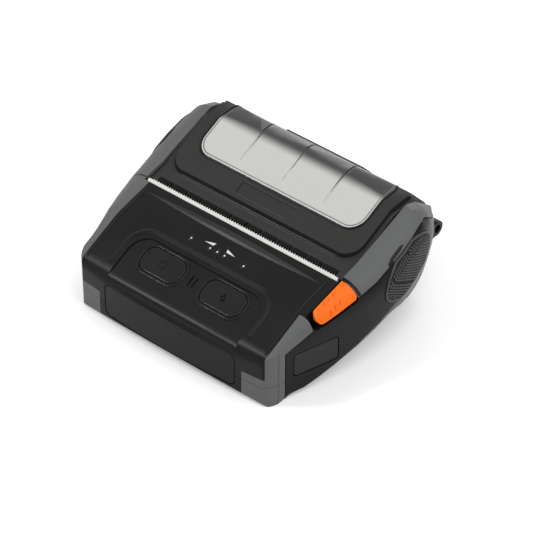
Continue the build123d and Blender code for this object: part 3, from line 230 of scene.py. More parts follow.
def moulded(name, dark, light, roughness, grain_mm, height_mm, **sockets):
    """Moulded plastic with an eroded grain, slight colour variation and handling marks."""
    material, tree, shader = new_material(name, dark, roughness, **sockets)
    place = add_node(tree, "ShaderNodeTexCoord").outputs["Object"]
    grain = add_node(tree, "ShaderNodeTexNoise", {
        "Vector": place, "Scale": per_metre(grain_mm), "Detail": 3.0, "Roughness": 0.6,
    })
    clouds = add_node(tree, "ShaderNodeTexNoise", {
        "Vector": place, "Scale": per_metre(CLOUD_MM), "Detail": 4.0, "Roughness": 0.65,
    })
    tint = add_node(tree, "ShaderNodeMix", {
        "Factor": clouds.outputs["Fac"], "A": linear(dark), "B": linear(light),
    }, data_type="RGBA")
    tree.links.new(tint.outputs["Result"], shader.inputs["Base Color"])
    marks = add_node(tree, "ShaderNodeMapRange", {
        "Value": clouds.outputs["Fac"], "From Min": 0.3, "From Max": 0.7,
        "To Min": roughness - MARK_RANGE, "To Max": roughness + MARK_RANGE,
    })
    tree.links.new(marks.outputs["Result"], shader.inputs["Roughness"])
    bump = add_node(tree, "ShaderNodeBump", {
        "Height": grain.outputs["Fac"], "Strength": 0.6, "Distance": height_mm * MM,
    })
    tree.links.new(bump.outputs["Normal"], shader.inputs["Normal"])
    return material


# %% [markdown]
# The finishes are named for what the real ones are. Under a white sky a textured surface shows a
# grey veil that hides a deep black, so the specular level of the satin finishes is taken below
# the usual half until the blacks match the real ones. The values after the two colours are the
# roughness, the grain in millimetres and the height of the grain in millimetres.

# %% Finishes of plastic, rubber and paper
SATIN = {"Specular_IOR_Level": 0.22}
finishes = {
    "black_abs": moulded(
        "matt_black_abs", "#121212", "#171716", 0.32, 0.45, 0.03, Specular_IOR_Level=0.12),
    "lid_abs": moulded("matt_black_lid_abs", "#232322", "#2b2a29", 0.38, 0.45, 0.03, **SATIN),
    "bumper_grey": moulded("grey_overmoulded_rubber", "#555656", "#5d5e5e", 0.5, 0.45, 0.05, **SATIN),
    "grip_rubber": moulded("black_grip_rubber", "#3c3d3d", "#434444", 0.5, 0.5, 0.03, **SATIN),
    "platen_rubber": moulded("ground_platen_rubber", "#1b1b1c", "#222223", 0.7, 0.8, 0.02, **SATIN),
    "orange_abs": moulded(
        "orange_abs", "#ee6406", "#f6720c", 0.45, 0.5, 0.02, Specular_IOR_Level=0.2),
    "white_acetal": moulded("white_acetal", "#e6e4dd", "#eeece6", 0.35, 0.8, 0.01),
    "tear_bar_white": moulded("white_tear_bar_abs", "#d2d2ce", "#dcdcd8", 0.42, 0.8, 0.01, **SATIN),
    "thermal_paper": moulded("coated_thermal_paper", "#e9e8e4", "#f0efec", 0.5, 0.3, 0.01),
    "core_board": moulded("grey_core_board", "#a89a86", "#b5a894", 0.8, 0.6, 0.04),
    "green_board": moulded("green_solder_mask", "#17502f", "#1c5d38", 0.3, 1.5, 0.01),
    "black_component": moulded("black_moulded_component", "#121212", "#191919", 0.4, 0.5, 0.01),
    "cell_wrap": moulded("blue_cell_wrap", "#1f5f8c", "#276b9b", 0.25, 2.0, 0.01),
}
print("moulded finishes:", len(finishes))

# %% [markdown]
# The metals are drawn sheet, turned brass and extruded aluminium, which all carry long fine
# scratches along one direction. So the noise is stretched in a Mapping node before it drives the
# roughness and the bump. A metal keeps the default IOR, and its colour is that of the bare metal.


# %% Metals
SCRATCH_MM = 0.6
SCRATCH_HEIGHT = 0.01 * MM
ALONG_X = (0.05, 1.0, 1.0)
WEAR_RANGE = 0.08


def metal(name, hex_colour, roughness):
    """Bare or plated metal with fine drawn lines along X."""
    material, tree, shader = new_material(name, hex_colour, roughness, Metallic=1.0)
    place = add_node(tree, "ShaderNodeTexCoord").outputs["Object"]
    drawn = add_node(tree, "ShaderNodeMapping", {"Vector": place, "Scale": ALONG_X})
    lines = add_node(tree, "ShaderNodeTexNoise", {
        "Vector": drawn.outputs["Vector"], "Scale": per_metre(SCRATCH_MM), "Detail": 3.0,
    })
    wear = add_node(tree, "ShaderNodeMapRange", {
        "Value": lines.outputs["Fac"],
        "To Min": roughness - WEAR_RANGE, "To Max": roughness + WEAR_RANGE,
    })
    tree.links.new(wear.outputs["Result"], shader.inputs["Roughness"])
    bump = add_node(tree, "ShaderNodeBump", {
        "Height": lines.outputs["Fac"], "Strength": 0.3, "Distance": SCRATCH_HEIGHT,
    })
    tree.links.new(bump.outputs["Normal"], shader.inputs["Normal"])
    return material


finishes["steel"] = metal("zinc_plated_steel_sheet", "#b9bbbd", 0.35)
finishes["plated_steel"] = metal("nickel_plated_steel", "#c6c4bf", 0.22)
finishes["pinion_brass"] = metal("turned_brass", "#c9a45c", 0.3)
finishes["sink_aluminium"] = metal("extruded_aluminium", "#c4c6c8", 0.38)
print("finishes with the metals:", len(finishes))

# %% [markdown]
# The print head is a white fired ceramic plate. The lamps are clear moulded acrylic with the dark
# inside of the casing behind it, which makes them look nearly black while they are off.

# %% Ceramic and acrylic
finishes["head_ceramic"] = moulded("fired_white_ceramic", "#d8d4c8", "#e2ded4", 0.25, 0.8, 0.01)
finishes["lamp_clear"] = new_material(
    "clear_acrylic_light_pipe", "#1c1e1e", 0.12, Transmission_Weight=0.1, IOR=1.49)[0]
print("acrylic and ceramic:", finishes["lamp_clear"].name, finishes["head_ceramic"].name)

# %% [markdown]
# The window is polycarbonate. Fully clear glass would show every edge of the roll and the well, and
# the real one doesn't: it is frosted where the paper lies pale behind it, and dark over the crest,
# where the roll curves away and only the shaded well lies behind. So the shader mixes a pale frost
# with a dark tone, which is the shade of the well painted onto the window, and the mix follows the
# Y coordinate from front to rear.

# %% Window
window_material, window_tree, window_shader = new_material(
    "polycarbonate_window_painted_well_shade", "#d6d5d2", 0.24, IOR=1.58, Transmission_Weight=0.08)
CREST_START = 31.0 * MM
CREST_END = 37.0 * MM
FROST_MM = 0.7
window_place = add_node(window_tree, "ShaderNodeTexCoord").outputs["Object"]
window_axes = add_node(window_tree, "ShaderNodeSeparateXYZ", {"Vector": window_place})
crest = add_node(window_tree, "ShaderNodeMapRange", {
    "Value": window_axes.outputs["Y"], "From Min": CREST_START, "From Max": CREST_END,
}, interpolation_type="SMOOTHSTEP")
frost = add_node(window_tree, "ShaderNodeTexNoise", {
    "Vector": window_place, "Scale": per_metre(FROST_MM), "Detail": 2.0,
})
pale = add_node(window_tree, "ShaderNodeMix", {
    "Factor": frost.outputs["Fac"], "A": linear("#bcbbb9"), "B": linear("#cccbc8"),
}, data_type="RGBA")
# The dark tone over the crest is painted shade of the well behind the window.
shaded = add_node(window_tree, "ShaderNodeMix", {
    "Factor": crest.outputs["Result"], "A": pale.outputs["Result"], "B": linear("#2b2a29"),
}, data_type="RGBA")
window_tree.links.new(shaded.outputs["Result"], window_shader.inputs["Base Color"])
finishes["smoked_window"] = window_material
print("window turns smoked over", round((CREST_END - CREST_START) / MM, 1), "mm")

# %% [markdown]
# A node takes the finish of its slot. The keys and their bezels are polished, the grip pads are
# painted near-black, which paints the shade in the grooves between their ribs, and the flap is soft
# rubber, so these five nodes have finishes of their own. A rounded copy gets its material in its
# mesh. A node of the frame keeps its mesh as it is, and the material is linked to the object instead.

# %% Give every node its finish
OWN_FINISHES = {
    # The pad under the ribs is painted near-black: painted shade in the grooves.
    "grip_pads": moulded("grip_rubber_painted_groove_shade", "#070707", "#0b0b0b", 0.7, 0.5, 0.03, **SATIN),
    "power_button": moulded(
        "polished_black_power_key", "#0e0e0e", "#131313", 0.2, 0.5, 0.01, **SATIN),
    "feed_button": moulded(
        "polished_black_feed_key", "#0e0e0e", "#131313", 0.2, 0.5, 0.01, **SATIN),
    "button_bezels": moulded(
        "polished_black_bezel", "#0c0c0c", "#101010", 0.18, 0.5, 0.01, **SATIN),
    "interface_cover": moulded(
        "matt_black_rubber_flap", "#151515", "#1b1b1b", 0.42, 0.5, 0.03, **SATIN),
}
for node, slot in slot_of.items():
    shown = pieces.get(node, frame["nodes"][node])
    if node in pieces:
        shown.data.materials.clear()
        shown.data.materials.append(OWN_FINISHES.get(node, finishes[slot]))
    else:
        for material_slot in shown.material_slots:
            material_slot.link = "OBJECT"
            material_slot.material = finishes[slot]
print("nodes with a finish:", len(slot_of))

# %% [markdown]
# The small moulded lines are not separate parts of the real casing: they are ribs, beads and
# grooves of the mould. They could be cut into each casing with Booleans, which is slow and leaves
# rough edges. Here each one is a thin tube that follows the casing's surface and is sunk into it,
# so that only a soft rounded ridge stands out. The surface is found by casting a ray onto it.


# %% Finding places on a surface
FAR = 200


def below(carrier, x, y):
    """The place and normal of a piece straight under (x, y) in millimetres, or None."""
    hit, place, normal, _ = carrier.ray_cast(Vector((x, y, FAR)) * MM, Vector((0, 0, -1)))
    return (place, normal) if hit else None


def beside(carrier, y, z):
    """The place and normal of a piece seen from the right at (y, z) in millimetres, or None."""
    hit, place, normal, _ = carrier.ray_cast(Vector((FAR, y, z)) * MM, Vector((-1, 0, 0)))
    return (place, normal) if hit else None


def laid(carrier, route, lift):
    """The route's (x, y) places laid on a piece and moved lift millimetres off its surface."""
    found = [below(carrier, x, y) for x, y in route]
    return [place + normal * lift * MM for place, normal in filter(None, found)]


# %% [markdown]
# A new piece belongs to a node of the frame: it rides on that node's body and, unless it gets a
# material of its own, takes the finish of that node's slot. Its doubles are merged before its
# normals are made consistent, so that the faces of each closed shape point outwards.


# %% Dressing a new piece
CLEAN_DISTANCE = 0.001 * MM


def dressed(piece, node, slot=None, material=None):
    """Clean a finished piece, and give it the body of a node and the finish of its slot."""
    activate(piece)
    bpy.ops.object.mode_set(mode="EDIT")
    bpy.ops.mesh.select_all(action="SELECT")
    bpy.ops.mesh.remove_doubles(threshold=CLEAN_DISTANCE)
    bpy.ops.mesh.normals_make_consistent(inside=False)
    bpy.ops.object.mode_set(mode="OBJECT")
    bpy.ops.object.shade_smooth_by_angle(angle=SMOOTH_ANGLE)
    slot = slot or slot_of[node]
    piece.data.materials.clear()
    piece.data.materials.append(material or finishes[slot])
    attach(piece, body_of[node])
    print(piece.name, "faces:", len(piece.data.polygons))
    return piece


# %% [markdown]
# A bead is a curve with a round bevel, turned into a mesh. Where it fades out, its radius shrinks
# over the last stretch, as the cutter that made the mould leaves the surface there.

# %% Beads
THIN_END = 0.1


def faded(share, fade):
    """How much of its radius a bead has at a share of its length from its nearer end."""
    return min(1.0, THIN_END + (1 - THIN_END) * share / fade) if fade else 1.0


def bead(name, runs, radius, node, closed=False, fade=0.0, material=None):
    """Tubes along runs of places, riding and finished as a node is."""
    curve = bpy.data.curves.new(name, "CURVE")
    curve.dimensions = "3D"
    curve.bevel_depth = radius * MM
    curve.bevel_resolution = 2
    curve.use_fill_caps = not closed
    for run in runs:
        spline = curve.splines.new("POLY")
        spline.points.add(len(run) - 1)
        last = len(run) - 1
        for index, place in enumerate(run):
            spline.points[index].co = (*place, 1)
            spline.points[index].radius = faded(min(index, last - index) / last, fade)
        spline.use_cyclic_u = closed
    activate(new_piece(name, curve))
    bpy.ops.object.convert(target="MESH")
    return dressed(bpy.context.object, node, material=material)


# %% [markdown]
# The nose, where the deck turns down into the front, is a broad round that carries the longest
# highlight of the casing. The front is slightly bowed in plan, so a Bevel would need one edge that
# runs the whole way. Instead the deck's copy is cut by level planes, and every corner that lies
# outside the round at its own place along the bow is drawn in onto it.

# %% Round nose of the deck
NOSE_RADIUS = 9.0
NOSE_TOP = 28.4
DECK_PITCH = radians(23.53)
FRONT_Y = -67.0
FRONT_BOW = 0.00083
LOWEST_CUT = 20.5
CUT_STEP = 0.7
CUT_COUNT = 18
deck = pieces["control_cover"]
activate(deck)
bpy.ops.object.mode_set(mode="EDIT")
for cut in range(CUT_COUNT):
    bpy.ops.mesh.select_all(action="SELECT")
    bpy.ops.mesh.bisect(plane_co=(0, 0, (LOWEST_CUT + CUT_STEP * cut) * MM), plane_no=(0, 0, 1))
bpy.ops.object.mode_set(mode="OBJECT")
print("deck faces after the cuts:", len(deck.data.polygons))

# %% Drawing the corners onto the round
front_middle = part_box("control_cover")[0][1] / MM
moved = 0
for vertex in deck.data.vertices:
    nose_y = front_middle + FRONT_BOW * (vertex.co.x / MM) ** 2 + NOSE_RADIUS
    deck_z = NOSE_TOP + (nose_y - FRONT_Y) * tan(DECK_PITCH)
    nose_z = deck_z - NOSE_RADIUS / cos(DECK_PITCH)
    out = Vector((vertex.co.y / MM - nose_y, vertex.co.z / MM - nose_z))
    beyond = out.x < 0 and out.y > 0 and out.length > NOSE_RADIUS
    if beyond and out.y * sin(DECK_PITCH) < -out.x * cos(DECK_PITCH):
        out *= NOSE_RADIUS / out.length
        vertex.co.y = (nose_y + out.x) * MM
        vertex.co.z = (nose_z + out.y) * MM
        moved += 1
deck.data.update()
shade(deck)
print("nose corners drawn in:", moved)

# %% [markdown]
# The deck carries three kinds of relief: a U-shaped ridge round the button field, a long
# lens-shaped facet in front of the tear bar, and a bead along each side. The U ridge is a broad
# tube, most of it sunk, whose legs fade out towards the nose.


# %% U ridge round the buttons
def stretch(start, end, count):
    """Evenly spaced places on a straight line, both ends included."""
    return [
        tuple(a + (b - a) * step / (count - 1) for a, b in zip(start, end)) for step in range(count)
    ]


def u_route(half, front, top, corner):
    """The (x, y) route of a U: up the left leg, round two corners and down the right leg."""
    left = stretch((-half, front), (-half, top - corner), 30)
    bend = [
        (-half + corner - corner * cos(turn), top - corner + corner * sin(turn))
        for turn in (radians(angle) for angle in range(6, 90, 6))
    ]
    upper_left = left + bend
    across = stretch((-half + corner, top), (half - corner, top), 30)
    return upper_left + across + [(-x, y) for x, y in reversed(upper_left)]


u_places = laid(deck, u_route(half=43.8, front=-62, top=-35.4, corner=12), lift=-1.2)
bead("deck_u_ridge", [u_places], radius=1.9, node="control_cover", fade=0.08)

# %% [markdown]
# The facet is a low wedge that runs the length of the tear bar and swells in the middle, where its
# rear slope catches the light. A tube would be the same height all along, so it is built from
# four rows of places: the front foot, the edge, the rear foot and one row under the deck.

# %% Facet in front of the tear bar
FACET_HALF = 56.0
FACET_HEIGHT = 0.75
FACET_COLUMNS = 61


def facet_row(ends_y, middle_y, rise):
    """A long shallow arch of places across the deck; rise stands out most in the middle."""
    row = []
    for x, _ in stretch((-FACET_HALF, 0), (FACET_HALF, 0), FACET_COLUMNS):
        share = (x / FACET_HALF) ** 2
        lift = rise * (1 - share) if rise > 0 else rise
        row += laid(deck, [(x, middle_y + (ends_y - middle_y) * share)], lift)
    return row


# %% Skin of the facet
def closed_skin(rows):
    """The faces between rows of places that close round on themselves, with both ends."""
    columns = len(rows[0])
    faces = []
    for row in range(len(rows)):
        start = row * columns
        following = (row + 1) % len(rows) * columns
        faces += [
            (start + c, start + c + 1, following + c + 1, following + c) for c in range(columns - 1)
        ]
    return faces + [
        tuple(row * columns + c for row in range(len(rows))) for c in (0, columns - 1)
    ]


front_foot = facet_row(ends_y=-18.2, middle_y=-20.2, rise=-0.15)
edge = facet_row(ends_y=-18.0, middle_y=-18.6, rise=FACET_HEIGHT)
rear_foot = facet_row(ends_y=-17.8, middle_y=-15.0, rise=-0.15)
under = facet_row(ends_y=-18.0, middle_y=-18.0, rise=-1.0)
facet_rows = [front_foot, edge, rear_foot, under]
facet_mesh = bpy.data.meshes.new("deck_facet")
facet_corners = [place for row in facet_rows for place in row]
facet_mesh.from_pydata(facet_corners, [], closed_skin(facet_rows))
dressed(new_piece("deck_facet", facet_mesh), "control_cover")

# %% [markdown]
# A fine bead runs down each side of the deck, and two short bars part the keys.

# %% Side beads and key dividers
EDGE_X = 56.6
EDGE_ENDS = (-62, -14)
DIVIDER_X = 1.1
DIVIDER_ENDS = (-49.2, -45.4)


def lengthwise(x, ends, count):
    """Places along Y at x, between two ends."""
    return stretch((x, ends[0]), (x, ends[1]), count)


edge_runs = [laid(deck, lengthwise(x, EDGE_ENDS, 50), lift=-0.25) for x in (-EDGE_X, EDGE_X)]
bead("deck_edge_beads", edge_runs, radius=0.6, node="control_cover", fade=0.04)
divider_runs = [
    laid(deck, lengthwise(x, DIVIDER_ENDS, 8), lift=-0.1) for x in (-DIVIDER_X, DIVIDER_X)
]
bead("key_dividers", divider_runs, radius=0.28, node="control_cover")

# %% [markdown]
# The buttons carry raised black marks that the finger feels, and the two wedges beside the lamps
# are white ink, about as thin as paint. Each mark is a small flat face laid on the surface and
# given its thickness by Solidify. They are generic: dots, a ring with a stroke, and a drop.


# %% Laying a mark on a surface
INK = 0.06
RAISED = 0.22


def printed(name, outlines, node, rise, slot=None, material=None):
    """Flat marks from (x, y) outlines, laid on a node's piece and standing rise above it."""
    mesh = bpy.data.meshes.new(name)
    corners = []
    faces = []
    for outline in outlines:
        faces.append(list(range(len(corners), len(corners) + len(outline))))
        corners += laid(pieces[node], outline, lift=0)
    mesh.from_pydata(corners, [], faces)
    piece = new_piece(name, mesh)
    apply_modifier(piece, "SOLIDIFY", thickness=2 * rise * MM, offset=0)
    return dressed(piece, node, slot, material)


# %% Outlines of the marks
def dot(x, y, radius, corners=14):
    """The outline of a round dot."""
    return [
        (x + radius * cos(2 * pi * k / corners), y + radius * sin(2 * pi * k / corners))
        for k in range(corners)
    ]


def ring(x, y, radius, width, start, end, steps=20):
    """The outline of an open ring between two angles in degrees."""
    turns = [radians(start + (end - start) * k / steps) for k in range(steps + 1)]
    inner = radius - width
    outside = [(x + radius * cos(turn), y + radius * sin(turn)) for turn in turns]
    return outside + [(x + inner * cos(turn), y + inner * sin(turn)) for turn in reversed(turns)]


def placed(outline, x, y):
    """An outline moved to a place."""
    return [(x + dx, y + dy) for dx, dy in outline]


# %% Marks on the power button
BUTTON_X = 19.2
BUTTON_Y = -47.3
FEEL_X = 29.8
FEEL_RADIUS = 0.28
STROKE = [(-0.17, 0.7), (0.17, 0.7), (0.17, 2.3), (-0.17, 2.3)]
power_marks = [dot(-FEEL_X, y, FEEL_RADIUS) for y in (-45.3, -47.3, -49.3)]
power_marks.append(ring(-BUTTON_X, BUTTON_Y, radius=2.1, width=0.45, start=122, end=418))
power_marks.append(placed(STROKE, -BUTTON_X, BUTTON_Y))
printed("power_marks", power_marks, "power_button", RAISED)

# %% Marks on the feed button
DROP = [(0.0, 2.1), (-1.3, 0.0), (-1.0, -1.2), (0.0, -1.8), (1.0, -1.2), (1.3, 0.0)]
DROP_INNER_SHARE = 0.62
DROP_INNER_SINK = 0.1
drop_inner = [(DROP_INNER_SHARE * x, DROP_INNER_SHARE * y - DROP_INNER_SINK) for x, y in DROP]
feed_marks = [dot(FEEL_X, y, FEEL_RADIUS) for y in (-44.3, -46.3, -48.3, -50.3)]
for first in range(len(DROP)):
    second = (first + 1) % len(DROP)
    side = (DROP[first], DROP[second], drop_inner[second], drop_inner[first])
    feed_marks.append(placed(side, BUTTON_X, BUTTON_Y))
printed("feed_marks", feed_marks, "feed_button", RAISED)

# %% White wedges beside the lamps
WEDGE = [(9.6, -27.2), (3.6, -25.4), (4.1, -27.2)]
wedges = [WEDGE, [(-x, y) for x, y in reversed(WEDGE)]]
printed("lamp_wedges", wedges, "control_cover", INK, slot="tear_bar_white")

# %% [markdown]
# Each lamp sits at the bottom of a small dark cup, whose rim is a closed bead. The pale spot a little
# off the middle of each lens is a painted glint: a highlight painted on as a thin mark.

# %% Lamp cups
LAMP_Y = -29.2
LAMP_XS = (-16.6, -4.55, 0, 4.55, 16.6)
CUP_RADIUS = 1.5
GLINT_RADIUS = 0.45
GLINT_SHIFT = 0.1
cup_runs = [laid(deck, dot(x, LAMP_Y, CUP_RADIUS, corners=20), lift=-0.18) for x in LAMP_XS]
bead("lamp_cups", cup_runs, radius=0.3, node="control_cover", closed=True)
# The pale spots are painted glints, set off the middle where the highlight falls.
lamp_glint_paint = moulded("painted_lamp_glint", "#d8dcdc", "#e4e8e8", 0.2, 0.8, 0.01)
spots = [dot(x + GLINT_SHIFT, LAMP_Y + GLINT_SHIFT, GLINT_RADIUS) for x in LAMP_XS]
printed("lamp_glints", spots, "lamp_lenses", rise=0.12, material=lamp_glint_paint)

# %% [markdown]
# The tear bar has a row of fine saw teeth along its rear edge. One tooth is a four-sided pyramid
# that leans backwards, and the Array modifier repeats it along the bar. The pitch is a little
# coarser than the real one, so that the teeth show.


# %% Rows of one shape
def settled(name):
    """The new primitive, named, with its place and size taken into its mesh."""
    piece = bpy.context.object
    piece.name = name
    bpy.ops.object.transform_apply(location=True, rotation=True, scale=True)
    return piece


def repeated(piece, count, pitch):
    """Repeat a piece count times along X, pitch millimetres apart."""
    apply_modifier(
        piece, "ARRAY", count=count, use_relative_offset=False, use_constant_offset=True,
        constant_offset_displace=(pitch * MM, 0, 0),
    )


# %% Tear bar teeth
TOOTH_PITCH = 1.5
TOOTH_HALF = 57.0
TOOTH_RADIUS = 0.8
TOOTH_HEIGHT = 1.5
TOOTH_LEAN = radians(-62)
TOOTH_OUT = 0.05
TOOTH_DOWN = 0.2
_, bar_rear, bar_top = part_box("tear_bar")[1]
deselect()
bpy.ops.mesh.primitive_cone_add(
    vertices=4, radius1=TOOTH_RADIUS * MM, radius2=0, depth=TOOTH_HEIGHT * MM,
    rotation=(TOOTH_LEAN, 0, 0),
    location=(-TOOTH_HALF * MM, bar_rear + TOOTH_OUT * MM, bar_top - TOOTH_DOWN * MM),
)
teeth = settled("tear_bar_teeth")
repeated(teeth, int(2 * TOOTH_HALF / TOOTH_PITCH) + 1, TOOTH_PITCH)
dressed(teeth, "tear_bar")

# %% [markdown]
# The front lip of the lid is a comb: a row of blocks with narrow gaps that guide the torn edge of
# the paper. The blocks are painted near-black, far darker than the lid, which paints the shade of
# the trough they stand in. One block is a cube with rounded edges, tilted to the lip and copied
# along it.
# The lip is measured under a block, because the lid has a slot in its middle.

# %% Comb of the lid
COMB_PITCH = 9.5
COMB_COUNT = 12
COMB_Y = -7.2
COMB_BLOCK = (8.6 * MM, 3.0 * MM, 1.5 * MM)
COMB_ROUND = 0.4
lip, lip_normal = below(pieces["lid_shell"], COMB_PITCH / 2, COMB_Y)
lip_slope = lip_normal.angle(Vector((0, 0, 1))) * (-1 if lip_normal.y > 0 else 1)
deselect()
bpy.ops.mesh.primitive_cube_add(
    size=1, rotation=(lip_slope, 0, 0), scale=COMB_BLOCK,
    location=(-COMB_PITCH * (COMB_COUNT - 1) / 2 * MM, lip.y, lip.z),
)
comb = settled("lid_comb")
apply_modifier(comb, "BEVEL", width=COMB_ROUND * MM, segments=2)
repeated(comb, COMB_COUNT, COMB_PITCH)
# Near-black: painted shade of the trough along the lid's lip.
comb_trough_shade = moulded(
    "painted_trough_shade_comb", "#040404", "#070707", 0.55, 0.5, 0.02, Specular_IOR_Level=0.1)
dressed(comb, "lid_shell", material=comb_trough_shade)

# %% [markdown]
# The lines of the lid are routes seen from above that are laid on whatever is on top there, the
# shell or the window. A rectangle with round corners serves the window and the plate.


# %% Routes on the lid
ROUTE_STEP = 1.5


def subdivided(route, spacing):
    """A closed route with extra places, so that no stretch is longer than spacing."""
    fine = []
    for start, end in zip(route, route[1:] + route[:1]):
        length = ((end[0] - start[0]) ** 2 + (end[1] - start[1]) ** 2) ** 0.5
        fine += stretch(start, end, max(2, int(length / spacing) + 2))[:-1]
    return fine


def rounded_route(half, front, rear, corner, steps=8):
    """The closed (x, y) route of a rectangle with round corners."""
    route = []
    for x, y, start in (
        (half - corner, rear - corner, 0), (-half + corner, rear - corner, 90),
        (-half + corner, front + corner, 180), (half - corner, front + corner, 270),
    ):
        for step in range(steps + 1):
            turn = radians(start + 90 * step / steps)
            route.append((x + corner * cos(turn), y + corner * sin(turn)))
    return subdivided(route, ROUTE_STEP)


def on_lid(route, lift):
    """A route laid on the lid, on its window or its shell, whichever is on top."""
    places = []
    for x, y in route:
        spots = filter(None, (below(pieces[name], x, y) for name in ("lid_shell", "lid_window")))
        place, normal = max(spots, key=lambda spot: spot[0].z)
        places.append(place + normal * lift * MM)
    return places


# %% [markdown]
# The window is held by a slim rim with a grey moulded line inside it, and three thin ribs stiffen
# it from the crest downwards until they fade out. The rim is near-black, darker than the lid: partly
# the black lid and partly painted shade of the joint. The same near-black paints the shade in the
# grooves and scoops further on. The ribs are painted dark, which paints the shade of the grooves
# that show as dark lines on the window.

# %% Window rims and ribs
# Painted shade: a near-black for grooves, scoops and joints, and dark ribs for the window's grooves.
black_and_groove_shade = moulded(
    "gloss_black_and_painted_groove_shade", "#030303", "#050505", 0.3, 0.5, 0.01, Specular_IOR_Level=0.15)
grey_rim = moulded("grey_smoked_rim", "#5c5b59", "#686765", 0.25, 0.8, 0.01)
rib_groove_shade = moulded("painted_groove_shade_rib", "#1d1c1b", "#262524", 0.3, 0.8, 0.01)
WINDOW_RIB_XS = (-25.8, 0, 25.8)
WINDOW_RIB_ENDS = (47.5, 22)
window = pieces["lid_window"]
rim_run = on_lid(rounded_route(half=51.9, front=13.1, rear=50.8, corner=9.0), lift=-0.2)
bead("window_rim", [rim_run], radius=0.7, node="lid_shell", closed=True, material=black_and_groove_shade)
inner_run = laid(window, rounded_route(half=50.3, front=14.7, rear=49.3, corner=7.4), lift=-0.2)
bead("window_inner_rim", [inner_run], radius=0.36, node="lid_window", closed=True, material=grey_rim)
rib_runs = [laid(window, lengthwise(x, WINDOW_RIB_ENDS, 40), lift=-0.12) for x in WINDOW_RIB_XS]
bead("window_ribs", rib_runs, radius=0.38, node="lid_window", fade=0.6, material=rib_groove_shade)

# %% [markdown]
# The raised panel round the window ends in a groove with a fine bead outside it, which run down
# one side, round the front corners and up the other side. The groove is a sunk tube in the
# near-black, which paints the shade in the groove.


# %% Groove of the raised panel
def panel_route(half, front, rear, corner):
    """An open route along one side, round the front corners and back along the other side."""
    side = stretch((half, rear), (half, front + corner), 50)
    bend = [
        (half - corner + corner * cos(turn), front + corner - corner * sin(turn))
        for turn in (radians(angle) for angle in range(6, 90, 6))
    ]
    across = stretch((half - corner, front), (-half + corner, front), 60)
    return side + bend + across + [(-x, y) for x, y in reversed(side + bend)]


groove_run = on_lid(panel_route(half=59.3, front=1.2, rear=50, corner=11), lift=-0.45)
bead("panel_groove", [groove_run], radius=0.75, node="lid_shell", fade=0.03, material=black_and_groove_shade)
bead_run = on_lid(panel_route(half=60.6, front=-0.3, rear=50, corner=12), lift=-0.15)
bead("panel_bead", [bead_run], radius=0.3, node="lid_shell", fade=0.03)

# %% Frame of the plate
plate_route = rounded_route(half=17.3, front=4.0, rear=10.9, corner=1.2)
plate_run = laid(pieces["lid_shell"], plate_route, lift=-0.12)
bead("plate_frame", [plate_run], radius=0.3, node="lid_shell", closed=True)

# %% [markdown]
# Each grip pad is ribbed like a fingertip. The pad's copy is drawn in a little, and the rim and
# the ribs stand up to where the pad was: straight ribs meet in a V along a slanting spine, and
# arches close the pattern above and below. The ribs could be cut with Booleans, one by one. Beads
# are quicker, and every bead is clipped to the pad by casting rays round each of its places. The
# left pad is the mirror image of the right one.

# %% Drawing in the pads
PAD_SINK = 0.45
pad = pieces["grip_pads"]
for vertex in pad.data.vertices:
    vertex.co.x -= PAD_SINK * MM * (1 if vertex.co.x > 0 else -1)
pad.data.update()
print("pad corners drawn in:", len(pad.data.vertices))


# %% Places on the pad
PAD_MARGIN = 1.7
RIB_LIFT = -0.05


def heading(angle):
    """The direction at an angle in degrees, from rearwards towards up."""
    return Vector((cos(radians(angle)), sin(radians(angle))))


def in_pad(spot, margin):
    """Whether a (y, z) place lies on the pad with a margin all round."""
    return all(beside(pad, *(spot + heading(angle) * margin)) for angle in range(0, 360, 45))


def clipped(route):
    """The stretches of a (y, z) route that lie on the right pad, as places on it."""
    runs = [[]]
    for spot in route:
        if in_pad(spot, PAD_MARGIN):
            place, normal = beside(pad, *spot)
            runs[-1].append(place + normal * RIB_LIFT * MM)
        elif runs[-1]:
            runs.append([])
    return [run for run in runs if len(run) > 2]


def both_sides(runs):
    """Runs on the right side together with their mirror images."""
    return runs + [[Vector((-place.x, place.y, place.z)) for place in run] for run in runs]


# %% [markdown]
# The spine runs from SPINE_TOP down and forwards to SPINE_LOW. Two families of straight ribs leave
# it, one upwards and one downwards to the rear. Beyond each end of the spine the ribs start on the
# two rays of a sector, and arches about the end of the spine join them.

# %% Straight ribs
RIB_PITCH = 1.42
SPINE_STEP = 1.5
SPINE_TOP = Vector((22.9, 46.3))
SPINE_LOW = Vector((11.8, 38.7))
SPINE_ANGLE = 214
ARM_UP = 108
ARM_DOWN = -30
ARM_LENGTH = 30.0
ARM_STEPS = 40
TOP_SECTOR = (76, 2)
LOW_SECTOR = (206, 270)
OUTER_ARMS = 12


def arm(start, angle):
    """A straight rib from a place, at an angle."""
    return [
        start + heading(angle) * ARM_LENGTH * step / ARM_STEPS for step in range(ARM_STEPS + 1)
    ]


rib_routes = []
spine_ribs = int((SPINE_TOP - SPINE_LOW).length / SPINE_STEP) + 1
for angle, *rays in zip((ARM_UP, ARM_DOWN), TOP_SECTOR, LOW_SECTOR):
    starts = [SPINE_TOP + heading(SPINE_ANGLE) * SPINE_STEP * k for k in range(spine_ribs)]
    for origin, ray in zip((SPINE_TOP, SPINE_LOW), rays):
        stride = RIB_PITCH / abs(sin(radians(angle - ray)))
        starts += [origin + heading(ray) * stride * k for k in range(1, OUTER_ARMS)]
    rib_routes += [arm(start, angle) for start in starts]
print("straight ribs:", len(rib_routes))

# %% Arches and the finished ribs
ARCH_COUNT = 14
ARCH_STEPS = 24
RIB_RADIUS = 0.45


